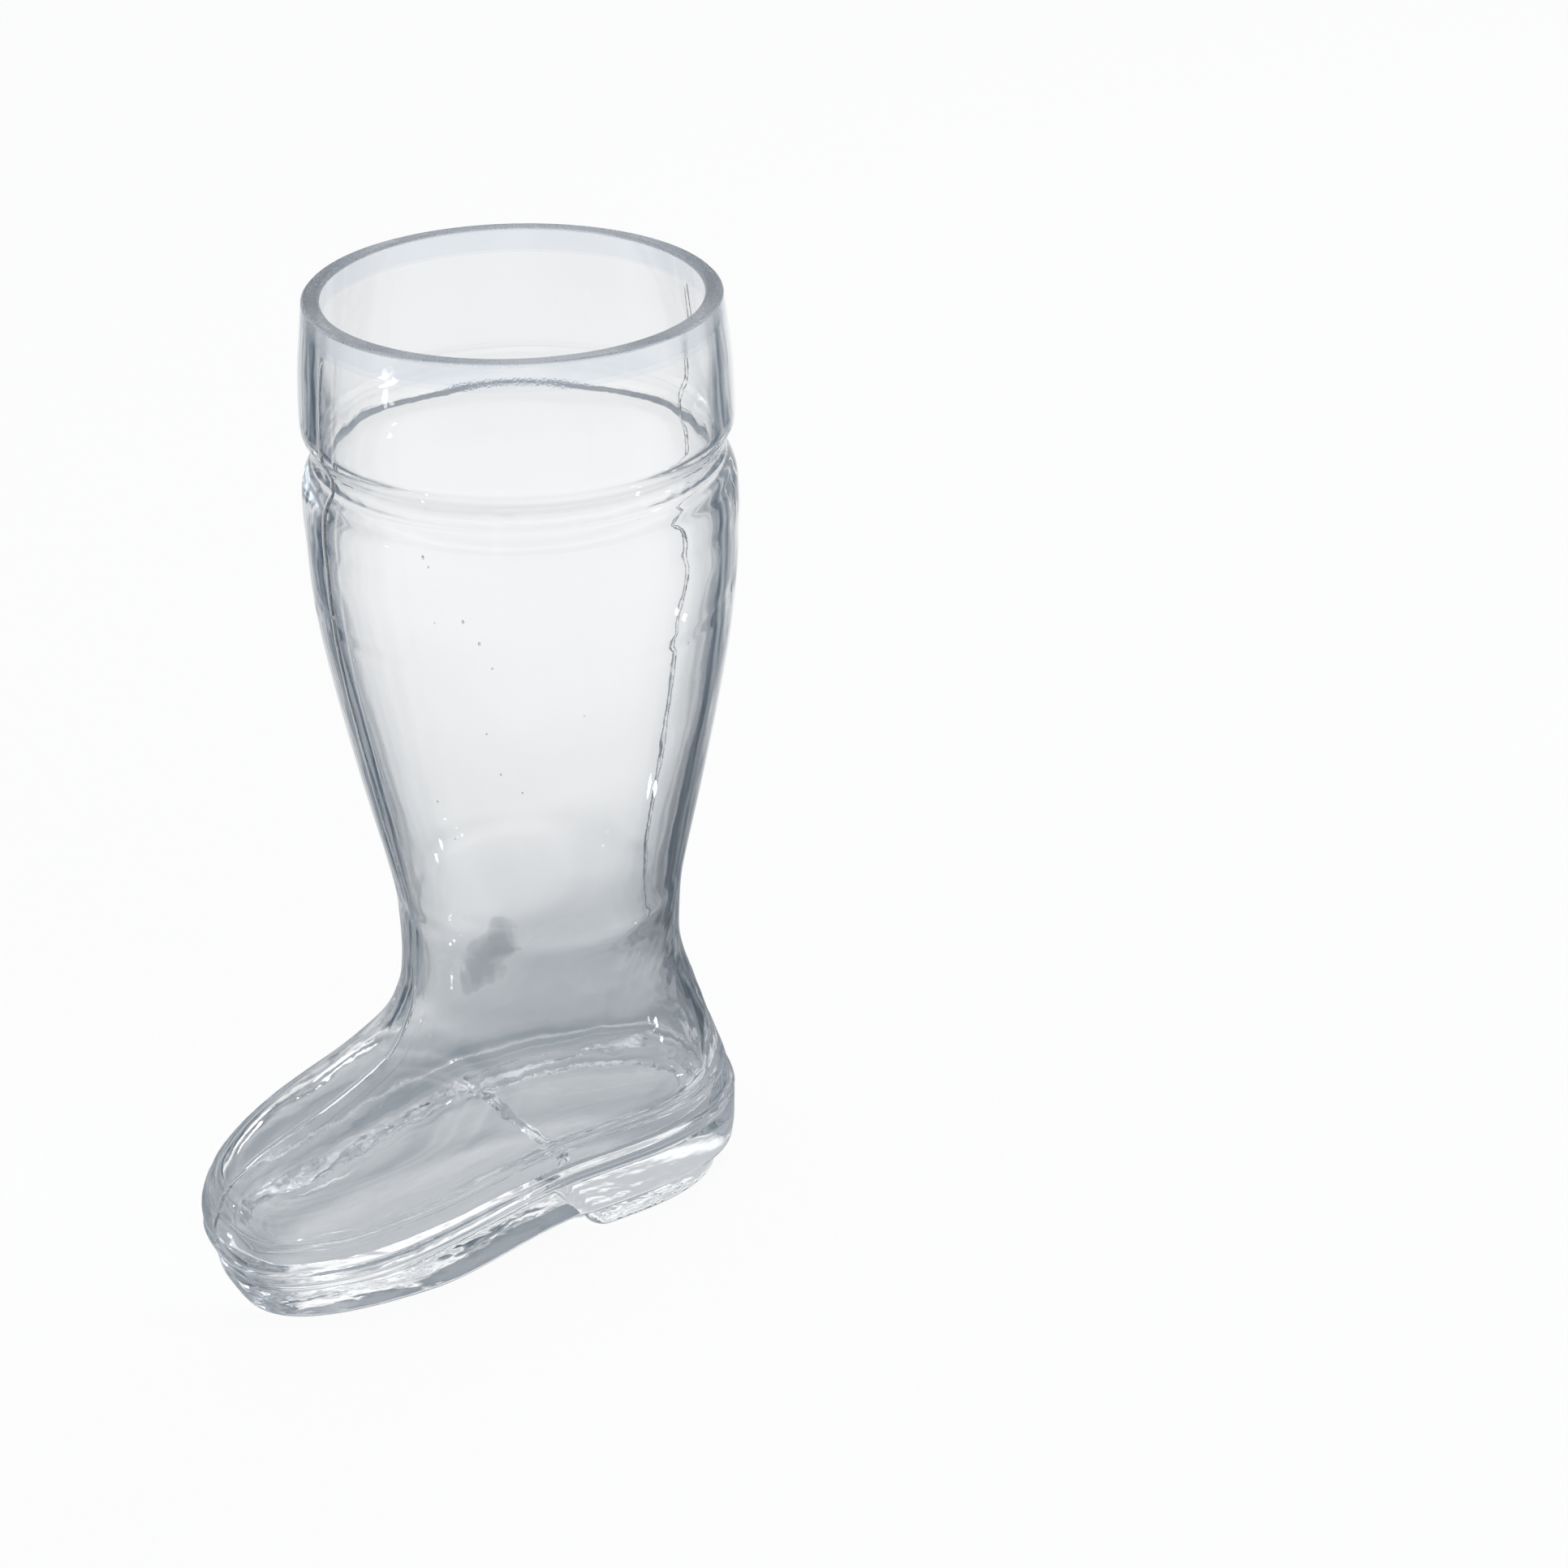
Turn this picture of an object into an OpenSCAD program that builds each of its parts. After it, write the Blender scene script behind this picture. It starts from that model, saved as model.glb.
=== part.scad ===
// Beer boot glass: a hollow, moulded glass boot that is drunk from at the top of its leg.
// The toe points along -X, y = 0 is the mirror plane, z = 0 is the table, and x = 0 lies
// midway between the toe tip and the back of the heel. The leg's own axis is at leg_x.
// The real boot is one piece of glass. Its pieces here are its moulded features, and they
// meet face to face.

/* [Leg] */
// Height from the table to the drinking rim
boot_h = 235; // [225:1:245]
// Outer radius of the ground drinking rim
rim_r = 46; // [44.5:0.1:47]
// Height of the rim's ring
rim_h = 6; // [4:0.5:8]
// Width of the bevels along the rim's two edges
rim_bevel = 0.8; // [0.4:0.1:1.2]
// Largest outer radius of the cuff
cuff_r = 48.4; // [47:0.1:50]
// Height of the cuff below the rim
cuff_h = 25.5; // [20:0.5:30]
// Outer radius at the bottom of the groove below the cuff
groove_r = 46.2; // [45:0.1:47]
// Height of the groove
groove_h = 8; // [6:0.5:10]
// Largest outer radius of the shoulder below the groove
shoulder_r = 49.2; // [48:0.1:51]
// Height of the shoulder
shoulder_h = 16; // [12:0.5:20]
// Thickness of the glass wall
wall_t = 4; // [3:0.25:5]

/* [Ankle] */
// Outer radius at the ankle
ankle_r = 34; // [32:0.5:36]
// Height of the ankle above the table
ankle_z = 82.5; // [78:0.5:88]
// Height at which the foot passes into the ankle
instep_z = 54; // [50:0.5:58]

/* [Foot] */
// Reach of the toe in front of the leg's axis
toe_reach = 91; // [86:0.5:96]
// Reach of the heel behind the leg's axis
heel_reach = 48.6; // [46:0.2:51]
// Half of the foot's greatest width
foot_half_w = 31.6; // [29.5:0.1:33.5]
// Distance of the toe cap's edge in front of the leg's axis
toe_cap_x = 62; // [56:1:68]
// Distance of the heel counter's edge in front of the leg's axis
counter_x = 12; // [8:0.5:16]
// Squareness of the toe, where 0 is an ellipse
toe_square = 1.25; // [0.8:0.05:1.6]
// Squareness of the heel, where 0 is an ellipse
heel_square = 0.9; // [0.4:0.05:1.3]
// Share of the foot's width that its waist is drawn in
waist_share = 0.04; // [0:0.01:0.08]

/* [Sole and heel] */
// Thickness of the sole under the ball of the foot
sole_t = 10.8; // [9:0.2:12]
// Half width of the sole under the ball of the foot
sole_half_w = 29; // [28:0.1:30]
// Height of the heel seat, where the sole's line ends
heel_seat_z = 19.2; // [17.5:0.1:21]
// Height of the rounded welt between the sole and the upper
welt_h = 3.6; // [2.5:0.1:4.5]
// How far the welt stands proud of the upper
welt_proud = 0.6; // [0.3:0.05:1]
// How far the heel block stands proud of the sole
heel_proud = 0.7; // [0.3:0.05:1.2]
// Height of the tap under the heel block
tap_h = 5.6; // [4.5:0.1:7]
// How far the tap's back stays in front of the back of the heel
tap_inset = 6; // [4:0.25:8]
// Distance of the tap's front edge in front of the leg's axis, on the table
breast_x = 2.5; // [0:0.25:5]
// Lean of the heel's front face from upright
breast_lean = 34; // [25:1:40]
// Width of the bevel round the bottom edges
edge_bevel = 1.2; // [0.6:0.1:1.8]

/* [Mould seams] */
// Width of the raised seam lines
seam_w = 2.2; // [1.4:0.1:3]
// Height of the raised seam lines
seam_h = 0.6; // [0.3:0.05:0.9]

/* [Hidden] */
$fn = 96;
// Points round each contour of the foot
ring_n = 48;
// Steps between two hand-chosen rows of the leg's and of the foot's outline
step_n = 3;
foot_step_n = 2;
// Overrun of a cut past the faces that it opens
overrun = 1;
// Length of the flat cuts, past every face of the boot
cut_l = boot_h + toe_reach;
// Axis of the leg
leg_x = (toe_reach - heel_reach) / 2;
// Heights on the leg
rim_z = boot_h - rim_h;
cuff_z = rim_z - cuff_h;
groove_z = cuff_z - groove_h;
shoulder_z = groove_z - shoulder_h;
leg_h = shoulder_z - ankle_z;
// Wall in the groove, as a share of the wall
groove_wall_share = 0.7;
// Front ends of the sole's rise and of the shank's rise, as shares of the toe's reach
rise_start_share = 0.747;
shank_start_share = 0.53;
// Back end of the sole's rise, as a share of the toe's reach
rise_end_share = 0.066;
// Middle and length of the waist, as shares of the toe's reach
waist_mid_share = 0.158;
waist_len_share = 0.34;
// Powers with which the squareness and the waist fade out up to the ankle
toe_fade = 1.85;
heel_fade = 3.6;
waist_fade = 1.6;
// Place of the widest point of a low contour, as a share of the heel's reach
widest_share = 0.048;
// The leg's outline: share of its height, share of the way from ankle_r to shoulder_r
leg_shares = [[0, 0], [0.07, 0.045], [0.15, 0.14], [0.4, 0.47], [0.69, 0.81], [0.88, 0.955], [1, 0.985]];
// The foot's outline, from below the welt up to the ankle. Each row has the share of the
// ankle's height, the shares of the way from ankle_r out to the toe and to the heel, and the
// half width as shares of foot_half_w and of ankle_r.
foot_shares = [
    [0.085, 0.955, 0.92, 0.925, 0],
    [0.133, 0.977, 0.96, 0.935, 0],
    [0.224, 1.000, 1.00, 0.955, 0],
    [0.291, 0.981, 0.94, 0.980, 0],
    [0.364, 0.915, 0.84, 1.000, 0],
    [0.436, 0.755, 0.71, 0.990, 0],
    [0.521, 0.430, 0.56, 0.950, 0],
    [0.618, 0.165, 0.39, 0.915, 0],
    [0.727, 0.050, 0.19, 0.900, 0],
    [0.836, 0.010, 0.06, 0.450, 0.464],
    [1.000, 0.000, 0.00, 0.000, 1]
];
// Reach of the sole's toe and heel at the table, as shares of the reaches of the upper
sole_toe_share = 0.958;
sole_heel_share = 0.93;
// Cross-section of a seam line: shares of its width and of its height
seam_shares = [[-0.5, 0], [-0.3, 0.7], [0, 1], [0.3, 0.7], [0.5, 0]];
glass = "aliceblue";
ground_glass = "lightgray";

function clamp01(v) = min(1, max(0, v));
function ease(u) = let (v = clamp01(u)) v * v * (3 - 2 * v);
function lerp(a, b, u) = a + (b - a) * u;

// One point of a smooth curve through b and c
function spline(a, b, c, d, u) =
    (2 * b + (c - a) * u + (2 * a - 5 * b + 4 * c - d) * u * u + (3 * b - a - 3 * c + d) * u * u * u) / 2;

// Rows of a table with n steps of a smooth curve between each two
function smooth_rows(t, n) = let (last = len(t) - 1) [
    for (i = [0 : last - 1]) for (k = [0 : n - 1])
        spline(t[max(0, i - 1)], t[i], t[i + 1], t[min(last, i + 2)], k / n),
    t[last]
];

// Outer radii where the leg, the shoulder, the groove, the cuff and the rim meet
leg_top_r = lerp(ankle_r, shoulder_r, leg_shares[len(leg_shares) - 1][1]);
shoulder_top_r = lerp(groove_r, shoulder_r, 0.5);
cuff_low_r = lerp(groove_r, cuff_r, 0.5);
rim_low_r = lerp(rim_r, cuff_r, 0.3);
// Inner radii at the same places. The wall is thinner in the groove, so the inside is straighter.
groove_wall_t = wall_t * groove_wall_share;
meet_wall_t = (wall_t + groove_wall_t) / 2;
shoulder_top_in_r = shoulder_top_r - meet_wall_t;
groove_in_r = groove_r - groove_wall_t;
cuff_low_in_r = cuff_low_r - meet_wall_t;
rim_low_in_r = rim_low_r - wall_t;

// Outlines of the turned pieces as rows of height, outer radius and inner radius
leg_rows = smooth_rows([for (s = leg_shares) let (r = lerp(ankle_r, shoulder_r, s[1]))
    [ankle_z + leg_h * s[0], r, r - wall_t]], step_n);
shoulder_rows = smooth_rows([
    [shoulder_z, leg_top_r, leg_top_r - wall_t],
    [lerp(shoulder_z, groove_z, 0.4), shoulder_r, shoulder_r - wall_t],
    [lerp(shoulder_z, groove_z, 0.8), lerp(shoulder_top_r, shoulder_r, 0.75),
        lerp(shoulder_top_in_r, shoulder_r - wall_t, 0.75)],
    [groove_z, shoulder_top_r, shoulder_top_in_r]
], step_n);
groove_rows = smooth_rows([
    [groove_z, shoulder_top_r, shoulder_top_in_r],
    [lerp(groove_z, cuff_z, 0.25), lerp(groove_r, shoulder_top_r, 0.25),
        lerp(groove_in_r, shoulder_top_in_r, 0.25)],
    [lerp(groove_z, cuff_z, 0.5), groove_r, groove_in_r],
    [lerp(groove_z, cuff_z, 0.75), lerp(groove_r, cuff_low_r, 0.25), lerp(groove_in_r, cuff_low_in_r, 0.25)],
    [cuff_z, cuff_low_r, cuff_low_in_r]
], step_n);
cuff_rows = smooth_rows([
    [cuff_z, cuff_low_r, cuff_low_in_r],
    [lerp(cuff_z, rim_z, 0.125), cuff_r, cuff_r - wall_t],
    [lerp(cuff_z, rim_z, 0.6), lerp(rim_r, cuff_r, 0.8), lerp(rim_r, cuff_r, 0.8) - wall_t],
    [rim_z, rim_low_r, rim_low_in_r]
], step_n);

// A ring turned about the leg's axis from rows of height, outer radius and inner radius
module turned_ring(rows) {
    last = len(rows) - 1;
    translate([leg_x, 0, 0])
        rotate_extrude()
            polygon(concat([for (r = rows) [r[1], r[0]]],
                [for (i = [last : -1 : 0]) [rows[i][2], rows[i][0]]]));
}

// Height of the sole's upper line and of its underside at a place along X, from the leg's axis
function welt_z(x) = let (a = -toe_reach * rise_start_share, b = -toe_reach * rise_end_share)
    sole_t + (heel_seat_z - sole_t) * ease((x - a) / (b - a));
function breast_at(z) = -breast_x - z * tan(breast_lean);
function under_z(x) = let (a = -toe_reach * shank_start_share, b = breast_at(tap_h))
    tap_h * ease((x - a) / (b - a));

// The foot's outer contours as rows of height, reach to the front, reach to the back, half width
foot_rows = smooth_rows([for (s = foot_shares) [
    ankle_z * s[0],
    lerp(ankle_r, toe_reach, s[1]),
    lerp(ankle_r, heel_reach, s[2]),
    foot_half_w * s[3] + ankle_r * s[4]
]], foot_step_n);

// The same contours set in by the wall. A row has its height at the front, both reaches, the
// half width and its height at the back, because the wall is measured square to the glass.
inner_rows = let (last = len(foot_rows) - 1) [
    for (i = [0 : last]) let (
        r = foot_rows[i],
        d = i == last ? [1, 0, 0, 0] : foot_rows[i + 1] - foot_rows[max(0, i - 1)],
        df = norm([d[0], d[1]]),
        db = norm([d[0], d[2]]),
        dh = norm([d[0], d[3]])
    ) [
        r[0] + wall_t * d[1] / df,
        r[1] - wall_t * d[0] / df,
        r[2] - wall_t * d[0] / db,
        r[3] - wall_t * d[0] / dh,
        r[0] + wall_t * d[2] / db
    ]
];

// Points of one contour. They have rounded square ends, and a waist that fades out upwards.
function contour(z_front, front, back, half, z_back) =
    let (
        low = clamp01((ankle_z - z_front) / (ankle_z - sole_t)),
        n_toe = 2 + toe_square * pow(low, toe_fade),
        n_heel = 2 + heel_square * pow(low, heel_fade),
        waist = waist_share * pow(low, waist_fade),
        mid = heel_reach * widest_share * low
    )
    [for (i = [0 : ring_n - 1]) let (
        a = 360 * i / ring_n,
        n = cos(a) < 0 ? n_toe : n_heel,
        reach = cos(a) < 0 ? mid + front : back - mid,
        x = mid + reach * sign(cos(a)) * pow(abs(cos(a)), 2 / n),
        bend = (x + toe_reach * waist_mid_share) / (toe_reach * waist_len_share),
        y = half * sign(sin(a)) * pow(abs(sin(a)), 2 / n) * (1 - waist * exp(-bend * bend)),
        z = lerp(z_front, z_back, (x + front) / (front + back))
    ) [x, y, z]];

// A closed solid through a stack of contours, from the bottom up
module stacked(rings) {
    n = len(rings[0]);
    last = len(rings) - 1;
    translate([leg_x, 0, 0])
        polyhedron(
            points = [for (r = rings) for (p = r) p],
            faces = concat(
                [[for (i = [0 : n - 1]) i]],
                [for (k = [0 : last - 1]) for (i = [0 : n - 1])
                    let (j = (i + 1) % n, low = k * n, high = low + n)
                    each [[low + i, high + i, high + j], [low + i, high + j, low + j]]],
                [[for (i = [n - 1 : -1 : 0]) last * n + i]]
            )
        );
}

// The foot's outer skin as a solid, grown by a length all round
module foot_outer(grow = 0) {
    stacked([for (r = foot_rows) contour(r[0], r[1] + grow, r[2] + grow, r[3] + grow, r[0])]);
}

// The space inside the foot, open past the ankle's top
module foot_inner() {
    top = inner_rows[len(inner_rows) - 1];
    stacked(concat(
        [for (r = inner_rows) contour(r[0], r[1], r[2], r[3], r[4])],
        [contour(top[0] + overrun, top[1], top[2], top[3], top[4] + overrun)]
    ));
}

module upper_shell() {
    difference() {
        foot_outer();
        foot_inner();
    }
}

// Places along X at which the curved cuts have a corner
cut_n = 36;
cut_xs = [for (i = [0 : cut_n]) lerp(-toe_reach - overrun, heel_reach + overrun, i / cut_n)];

// A cut through the whole width, from its outline seen from the side
module side_cut(points) {
    translate([leg_x, 0, 0])
        rotate([90, 0, 0])
            linear_extrude(height = cut_l, center = true)
                polygon(points);
}

// The band between two lines of the foot, given as heights above each other
module band_cut(low, high) {
    side_cut(concat([for (p = low) p], [for (i = [len(high) - 1 : -1 : 0]) high[i]]));
}

sole_line = [for (x = cut_xs) [x, welt_z(x)]];
welt_line = [for (x = cut_xs) [x, welt_z(x) + welt_h]];
under_line = [for (x = cut_xs) [x, under_z(x)]];

// What lies above the welt and below the instep, between two places along X
module upper_part(x_front, x_back) {
    intersection() {
        upper_shell();
        band_cut(welt_line, [for (p = welt_line) [p[0], instep_z]]);
        side_cut([[x_front, 0], [x_back, 0], [x_back, instep_z], [x_front, instep_z]]);
    }
}

// Contours of the sole, grown by a length, with a bevel that starts at a height
function sole_rings(z_low, grow, back_cut, bevel) = [
    for (s = [[0, -bevel], [bevel, 0], [sole_t, 0], [heel_seat_z + overrun, 0]]) let (
        z = z_low + s[0],
        up = clamp01(z / heel_seat_z),
        g = grow + s[1]
    ) contour(z, toe_reach * lerp(sole_toe_share, 1, up) + g,
        heel_reach * lerp(sole_heel_share, 1, up) - back_cut + g, sole_half_w + g, z)
];

module rim() {
    in_r = rim_r - wall_t;
    color(ground_glass)
        turned_ring([
            [rim_z, rim_low_r, rim_low_in_r],
            [lerp(rim_z, boot_h - rim_bevel, 0.5), lerp(rim_r, rim_low_r, 0.4),
                lerp(in_r, rim_low_in_r, 0.4)],
            [boot_h - rim_bevel, rim_r, in_r],
            [boot_h, rim_r - rim_bevel, in_r + rim_bevel]
        ]);
}

module cuff() {
    color(glass) turned_ring(cuff_rows);
}

module collar_groove() {
    color(glass) turned_ring(groove_rows);
}

module shoulder() {
    color(glass) turned_ring(shoulder_rows);
}

module leg() {
    color(glass) turned_ring(leg_rows);
}

module ankle() {
    color(glass)
        intersection() {
            upper_shell();
            side_cut([[-toe_reach, instep_z], [heel_reach, instep_z],
                [heel_reach, ankle_z], [-toe_reach, ankle_z]]);
        }
}

module heel_counter() {
    color(glass) upper_part(-counter_x, heel_reach + overrun);
}

module vamp() {
    color(glass) upper_part(-toe_cap_x, -counter_x);
}

module toe_cap() {
    color(glass) upper_part(-toe_reach - overrun, -toe_cap_x);
}

module welt() {
    color(glass)
        intersection() {
            difference() {
                foot_outer(welt_proud);
                foot_inner();
            }
            band_cut(sole_line, welt_line);
        }
}

module sole() {
    color(glass)
        intersection() {
            stacked(sole_rings(0, 0, 0, edge_bevel));
            band_cut(under_line, sole_line);
            side_cut([[-toe_reach, 0], [breast_at(0), 0],
                [breast_at(heel_seat_z), heel_seat_z], [-toe_reach, heel_seat_z]]);
        }
}

module heel_block() {
    color(glass)
        intersection() {
            stacked(sole_rings(0, heel_proud, 0, edge_bevel));
            side_cut([[breast_at(tap_h), tap_h], [heel_reach + overrun, tap_h],
                [heel_reach + overrun, heel_seat_z], [breast_at(heel_seat_z), heel_seat_z]]);
            band_cut([for (p = sole_line) [p[0], 0]], sole_line);
        }
}

module heel_tap() {
    color(glass)
        intersection() {
            stacked(sole_rings(0, heel_proud, tap_inset, edge_bevel));
            side_cut([[breast_at(0), 0], [heel_reach, 0], [heel_reach, tap_h], [breast_at(tap_h), tap_h]]);
        }
}

// A raised line along a path of places and heights. Side is -1 along the front, 1 along the back.
module seam_line(path, side) {
    last = len(path) - 1;
    n = len(seam_shares);
    rings = [for (i = [0 : last]) let (
        t = path[min(last, i + 1)] - path[max(0, i - 1)],
        out = [t[1], -t[0]] / norm(t)
    ) [for (s = seam_shares) [
        side * (path[i][0] + out[0] * seam_h * s[1]),
        seam_w * s[0] * side,
        path[i][1] + out[1] * seam_h * s[1]
    ]]];
    stacked(rings);
}

// The outline above the foot, up to the rim, as places and heights
leg_outline = [
    for (rows = [leg_rows, shoulder_rows, groove_rows, cuff_rows])
        for (i = [0 : len(rows) - (rows == cuff_rows ? 1 : 2)]) [rows[i][1], rows[i][0]]
];

// The outline of the foot above a height, in one column of the foot's rows, up to the ankle
function foot_outline(column, low_z) =
    [for (r = foot_rows) if (r[0] > low_z && r[0] < ankle_z) [r[column], r[0]]];

module front_seam() {
    color(glass) seam_line(concat(foot_outline(1, sole_t + welt_h), leg_outline), -1);
}

module back_seam() {
    color(glass) seam_line(concat(foot_outline(2, heel_seat_z + welt_h), leg_outline), 1);
}

rim();
cuff();
collar_groove();
shoulder();
leg();
ankle();
heel_counter();
vamp();
toe_cap();
welt();
sole();
heel_block();
heel_tap();
front_seam();
back_seam();
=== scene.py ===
"""Looks of a moulded glass beer boot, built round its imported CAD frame."""

import logging
import math
from dataclasses import dataclass, field
from enum import IntEnum
from typing import Callable, Sequence

import bmesh
import bpy
import numpy as np
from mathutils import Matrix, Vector, noise


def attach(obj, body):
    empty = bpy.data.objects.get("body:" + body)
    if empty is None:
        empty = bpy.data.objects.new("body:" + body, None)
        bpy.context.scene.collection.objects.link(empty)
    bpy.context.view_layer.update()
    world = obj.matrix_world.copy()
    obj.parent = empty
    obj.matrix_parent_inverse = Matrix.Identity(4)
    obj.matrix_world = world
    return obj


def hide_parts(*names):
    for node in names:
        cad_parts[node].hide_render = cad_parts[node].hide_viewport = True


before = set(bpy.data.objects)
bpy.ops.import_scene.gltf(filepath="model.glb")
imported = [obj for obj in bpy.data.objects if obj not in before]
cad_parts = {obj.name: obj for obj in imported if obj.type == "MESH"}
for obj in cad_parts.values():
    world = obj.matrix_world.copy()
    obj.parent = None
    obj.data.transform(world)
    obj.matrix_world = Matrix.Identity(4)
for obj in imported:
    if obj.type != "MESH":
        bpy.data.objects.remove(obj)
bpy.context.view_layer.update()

LOG = logging.getLogger("beer_boot")
MM = 0.001
# The leg's axis lies this far behind the frame's origin, in millimetres.
BOOT_SHIFT = 21.2
# A face on which two pieces meet is drawn back by this much, in metres.
JOINT_GAP = 1e-6
# Points closer than the first are welded and edges shorter than the second dissolved, in metres.
WELD, SLIVER = 2e-6, 1e-7
Socket = bpy.types.NodeSocket
Stops = tuple[tuple[float, float], ...]
NORMAL_LAYER, JOINT_LAYER, FROST_LAYER = "glass_normal", "meeting_face", "ground_face"
IOR = 1.5
WHITE = (1.0, 1.0, 1.0, 1.0)


class Face(IntEnum):
    """What the glass does at a face of a piece."""

    SKIN = 0
    JOINT = 1
    GROUND = 2


@dataclass(frozen=True)
class GlassFinish:
    """A finish of the boot's glass.

    Sizes are in metres. The tint is what one face leaves of white light, and the body and the
    density say what the glass itself takes away along a metre. The shadow is what is left of the
    light behind it.
    """

    name: str
    slot: str
    tint: tuple[float, float, float]
    roughness_low: float
    roughness_high: float
    ripple_size: float
    ripple_depth: float
    grain_size: float
    grain_depth: float
    body: tuple[float, float, float] = (0.1, 0.2, 0.3)
    density: float = 2.5
    shadow: tuple[float, float, float] = (0.9, 0.905, 0.91)


CLEAR = GlassFinish("clear_glass", "clear_glass", (0.99, 0.993, 0.996), 0.0, 0.012,
                    0.009, 0.00006, 0.0011, 0.000002)
FOOT_GLASS = GlassFinish("rippled_glass", "clear_glass", (0.99, 0.993, 0.996), 0.0, 0.012,
                         0.006, 0.00012, 0.0009, 0.000004)
GROUND = GlassFinish("ground_glass", "ground_glass", (0.84, 0.885, 0.945), 0.0, 0.015,
                     0.012, 0.00003, 0.0005, 0.000006)


def lerp(a: float, b: float, u: float) -> float:
    """Returns the value a share u of the way from a to b."""
    return a + (b - a) * u


def ease(u: np.ndarray | float) -> np.ndarray:
    """Returns a smooth step from 0 to 1."""
    v = np.clip(u, 0.0, 1.0)
    return v * v * (3 - 2 * v)


def fade(at: np.ndarray, start: float, length: float) -> np.ndarray:
    """Returns a smooth step from 1 to 0 that begins at a start and has a length."""
    return 1 - ease((at - start) / length)


def bell(at: np.ndarray, middle: float, width: float) -> np.ndarray:
    """Returns a smooth hump that is 1 at its middle."""
    return np.exp(-((at - middle) / width) ** 2)


def unit(vectors: np.ndarray) -> np.ndarray:
    """Returns a grid's vectors at length 1."""
    return vectors / np.linalg.norm(vectors, axis=2, keepdims=True)


def lifted(xy: np.ndarray, z: np.ndarray | float) -> np.ndarray:
    """Returns places in plan as points at one height, or each at its own."""
    return np.column_stack([xy, np.broadcast_to(z, len(xy))])


def blend(table: np.ndarray, at: np.ndarray, *columns: np.ndarray) -> np.ndarray:
    """Reads a table smoothly between its rows.

    Args:
        table: The table, by rows.
        at: The places that are read, in rows.
        columns: The column that each place lies in, where each has its own.

    Returns:
        What the table holds at each place.
    """
    last = len(table) - 1
    low = np.clip(at.astype(int), 0, last - 1)
    u = (np.clip(at, 0, last) - low)[:, None]
    a, b, c, d = (table[(np.clip(low + k, 0, last), *columns)] for k in (-1, 0, 1, 2))
    return b + 0.5 * u * (c - a + u * (2 * a - 5 * b + 4 * c - d + u * (3 * (b - c) + d - a)))


def central(rings: np.ndarray, axis: int, wrap: bool) -> np.ndarray:
    """Measures the direction of a grid's lines at each point.

    Args:
        rings: The grid, as rows of points.
        axis: 0 for the direction across the rows, 1 for the direction along them.
        wrap: Whether the grid closes on itself that way.

    Returns:
        A direction for each point.
    """
    ahead = np.roll(rings, -1, axis=axis) - rings
    behind = rings - np.roll(rings, 1, axis=axis)
    if not wrap:
        first, last = (0, -1) if axis == 0 else (np.s_[:, 0], np.s_[:, -1])
        ahead[last] = behind[last]
        behind[first] = ahead[first]
    h2, h1 = (np.linalg.norm(v, axis=2, keepdims=True) + 1e-9 for v in (ahead, behind))
    return (h1 * h1 * ahead + h2 * h2 * behind) / (h1 * h2 * (h1 + h2))


def grid_normals(rings: np.ndarray, wrap: bool = True) -> np.ndarray:
    """Returns the outward normals of a grid whose rows run anticlockwise from the bottom up."""
    n = np.cross(central(rings, 1, wrap), central(rings, 0, False))
    return n / (np.linalg.norm(n, axis=2, keepdims=True) + 1e-12)


def slope_normals(line: Callable[[np.ndarray], np.ndarray], x: np.ndarray) -> np.ndarray:
    """Returns the downward normals of a surface whose height at places along X a line gives."""
    slope = line(x + 0.5) - line(x - 0.5)
    return unit(np.stack([slope, np.zeros_like(slope), -np.ones_like(slope)], 2))


@dataclass(frozen=True)
class Wave:
    """A smooth random unevenness, in millimetres.

    A squeeze over 1 shortens its waves that way. Its middle and its reach, along X and up, say
    where it is strong.
    """

    size: float
    seed: float
    height: float = 1.0
    squeeze: tuple[float, float, float] = (1.0, 1.0, 1.0)
    middle: tuple[float, float] = (0.0, 0.0)
    reach: tuple[float, float] = (math.inf, math.inf)

    def over(self, points: np.ndarray) -> np.ndarray:
        """Works out the wave's height at each point of a grid.

        Args:
            points: The grid's points.

        Returns:
            The heights, in millimetres.
        """
        flat = (points * self.squeeze).reshape(-1, 3) / self.size + self.seed
        heights = np.array([noise.noise(p) for p in flat]).reshape(points.shape[:-1])
        return heights * self.height * (bell(points[..., 0], self.middle[0], self.reach[0])
                                        * bell(points[..., 2], self.middle[1], self.reach[1]))


def spine_of(ring: np.ndarray, inset: float) -> np.ndarray:
    """Finds the nearest point of the middle line for each point of a ring.

    Args:
        ring: The ring's points.
        inset: How far the middle line stays clear of the ring's two ends.

    Returns:
        Points of the middle line, at the ring's heights.
    """
    spine = ring.copy()
    low, high = ring[:, 0].min() + inset, ring[:, 0].max() - inset
    spine[:, 0] = np.clip(ring[:, 0], low, max(low, high))
    spine[:, 1] = 0.0
    return spine


def closing_rings(ring: np.ndarray, inset: float, steps: int) -> np.ndarray:
    """Returns a ring and its ever smaller copies, down to its middle line."""
    spine = spine_of(ring, inset)
    return np.array([spine + (ring - spine) * share for share in np.linspace(1, 0, steps + 1)])


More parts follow.
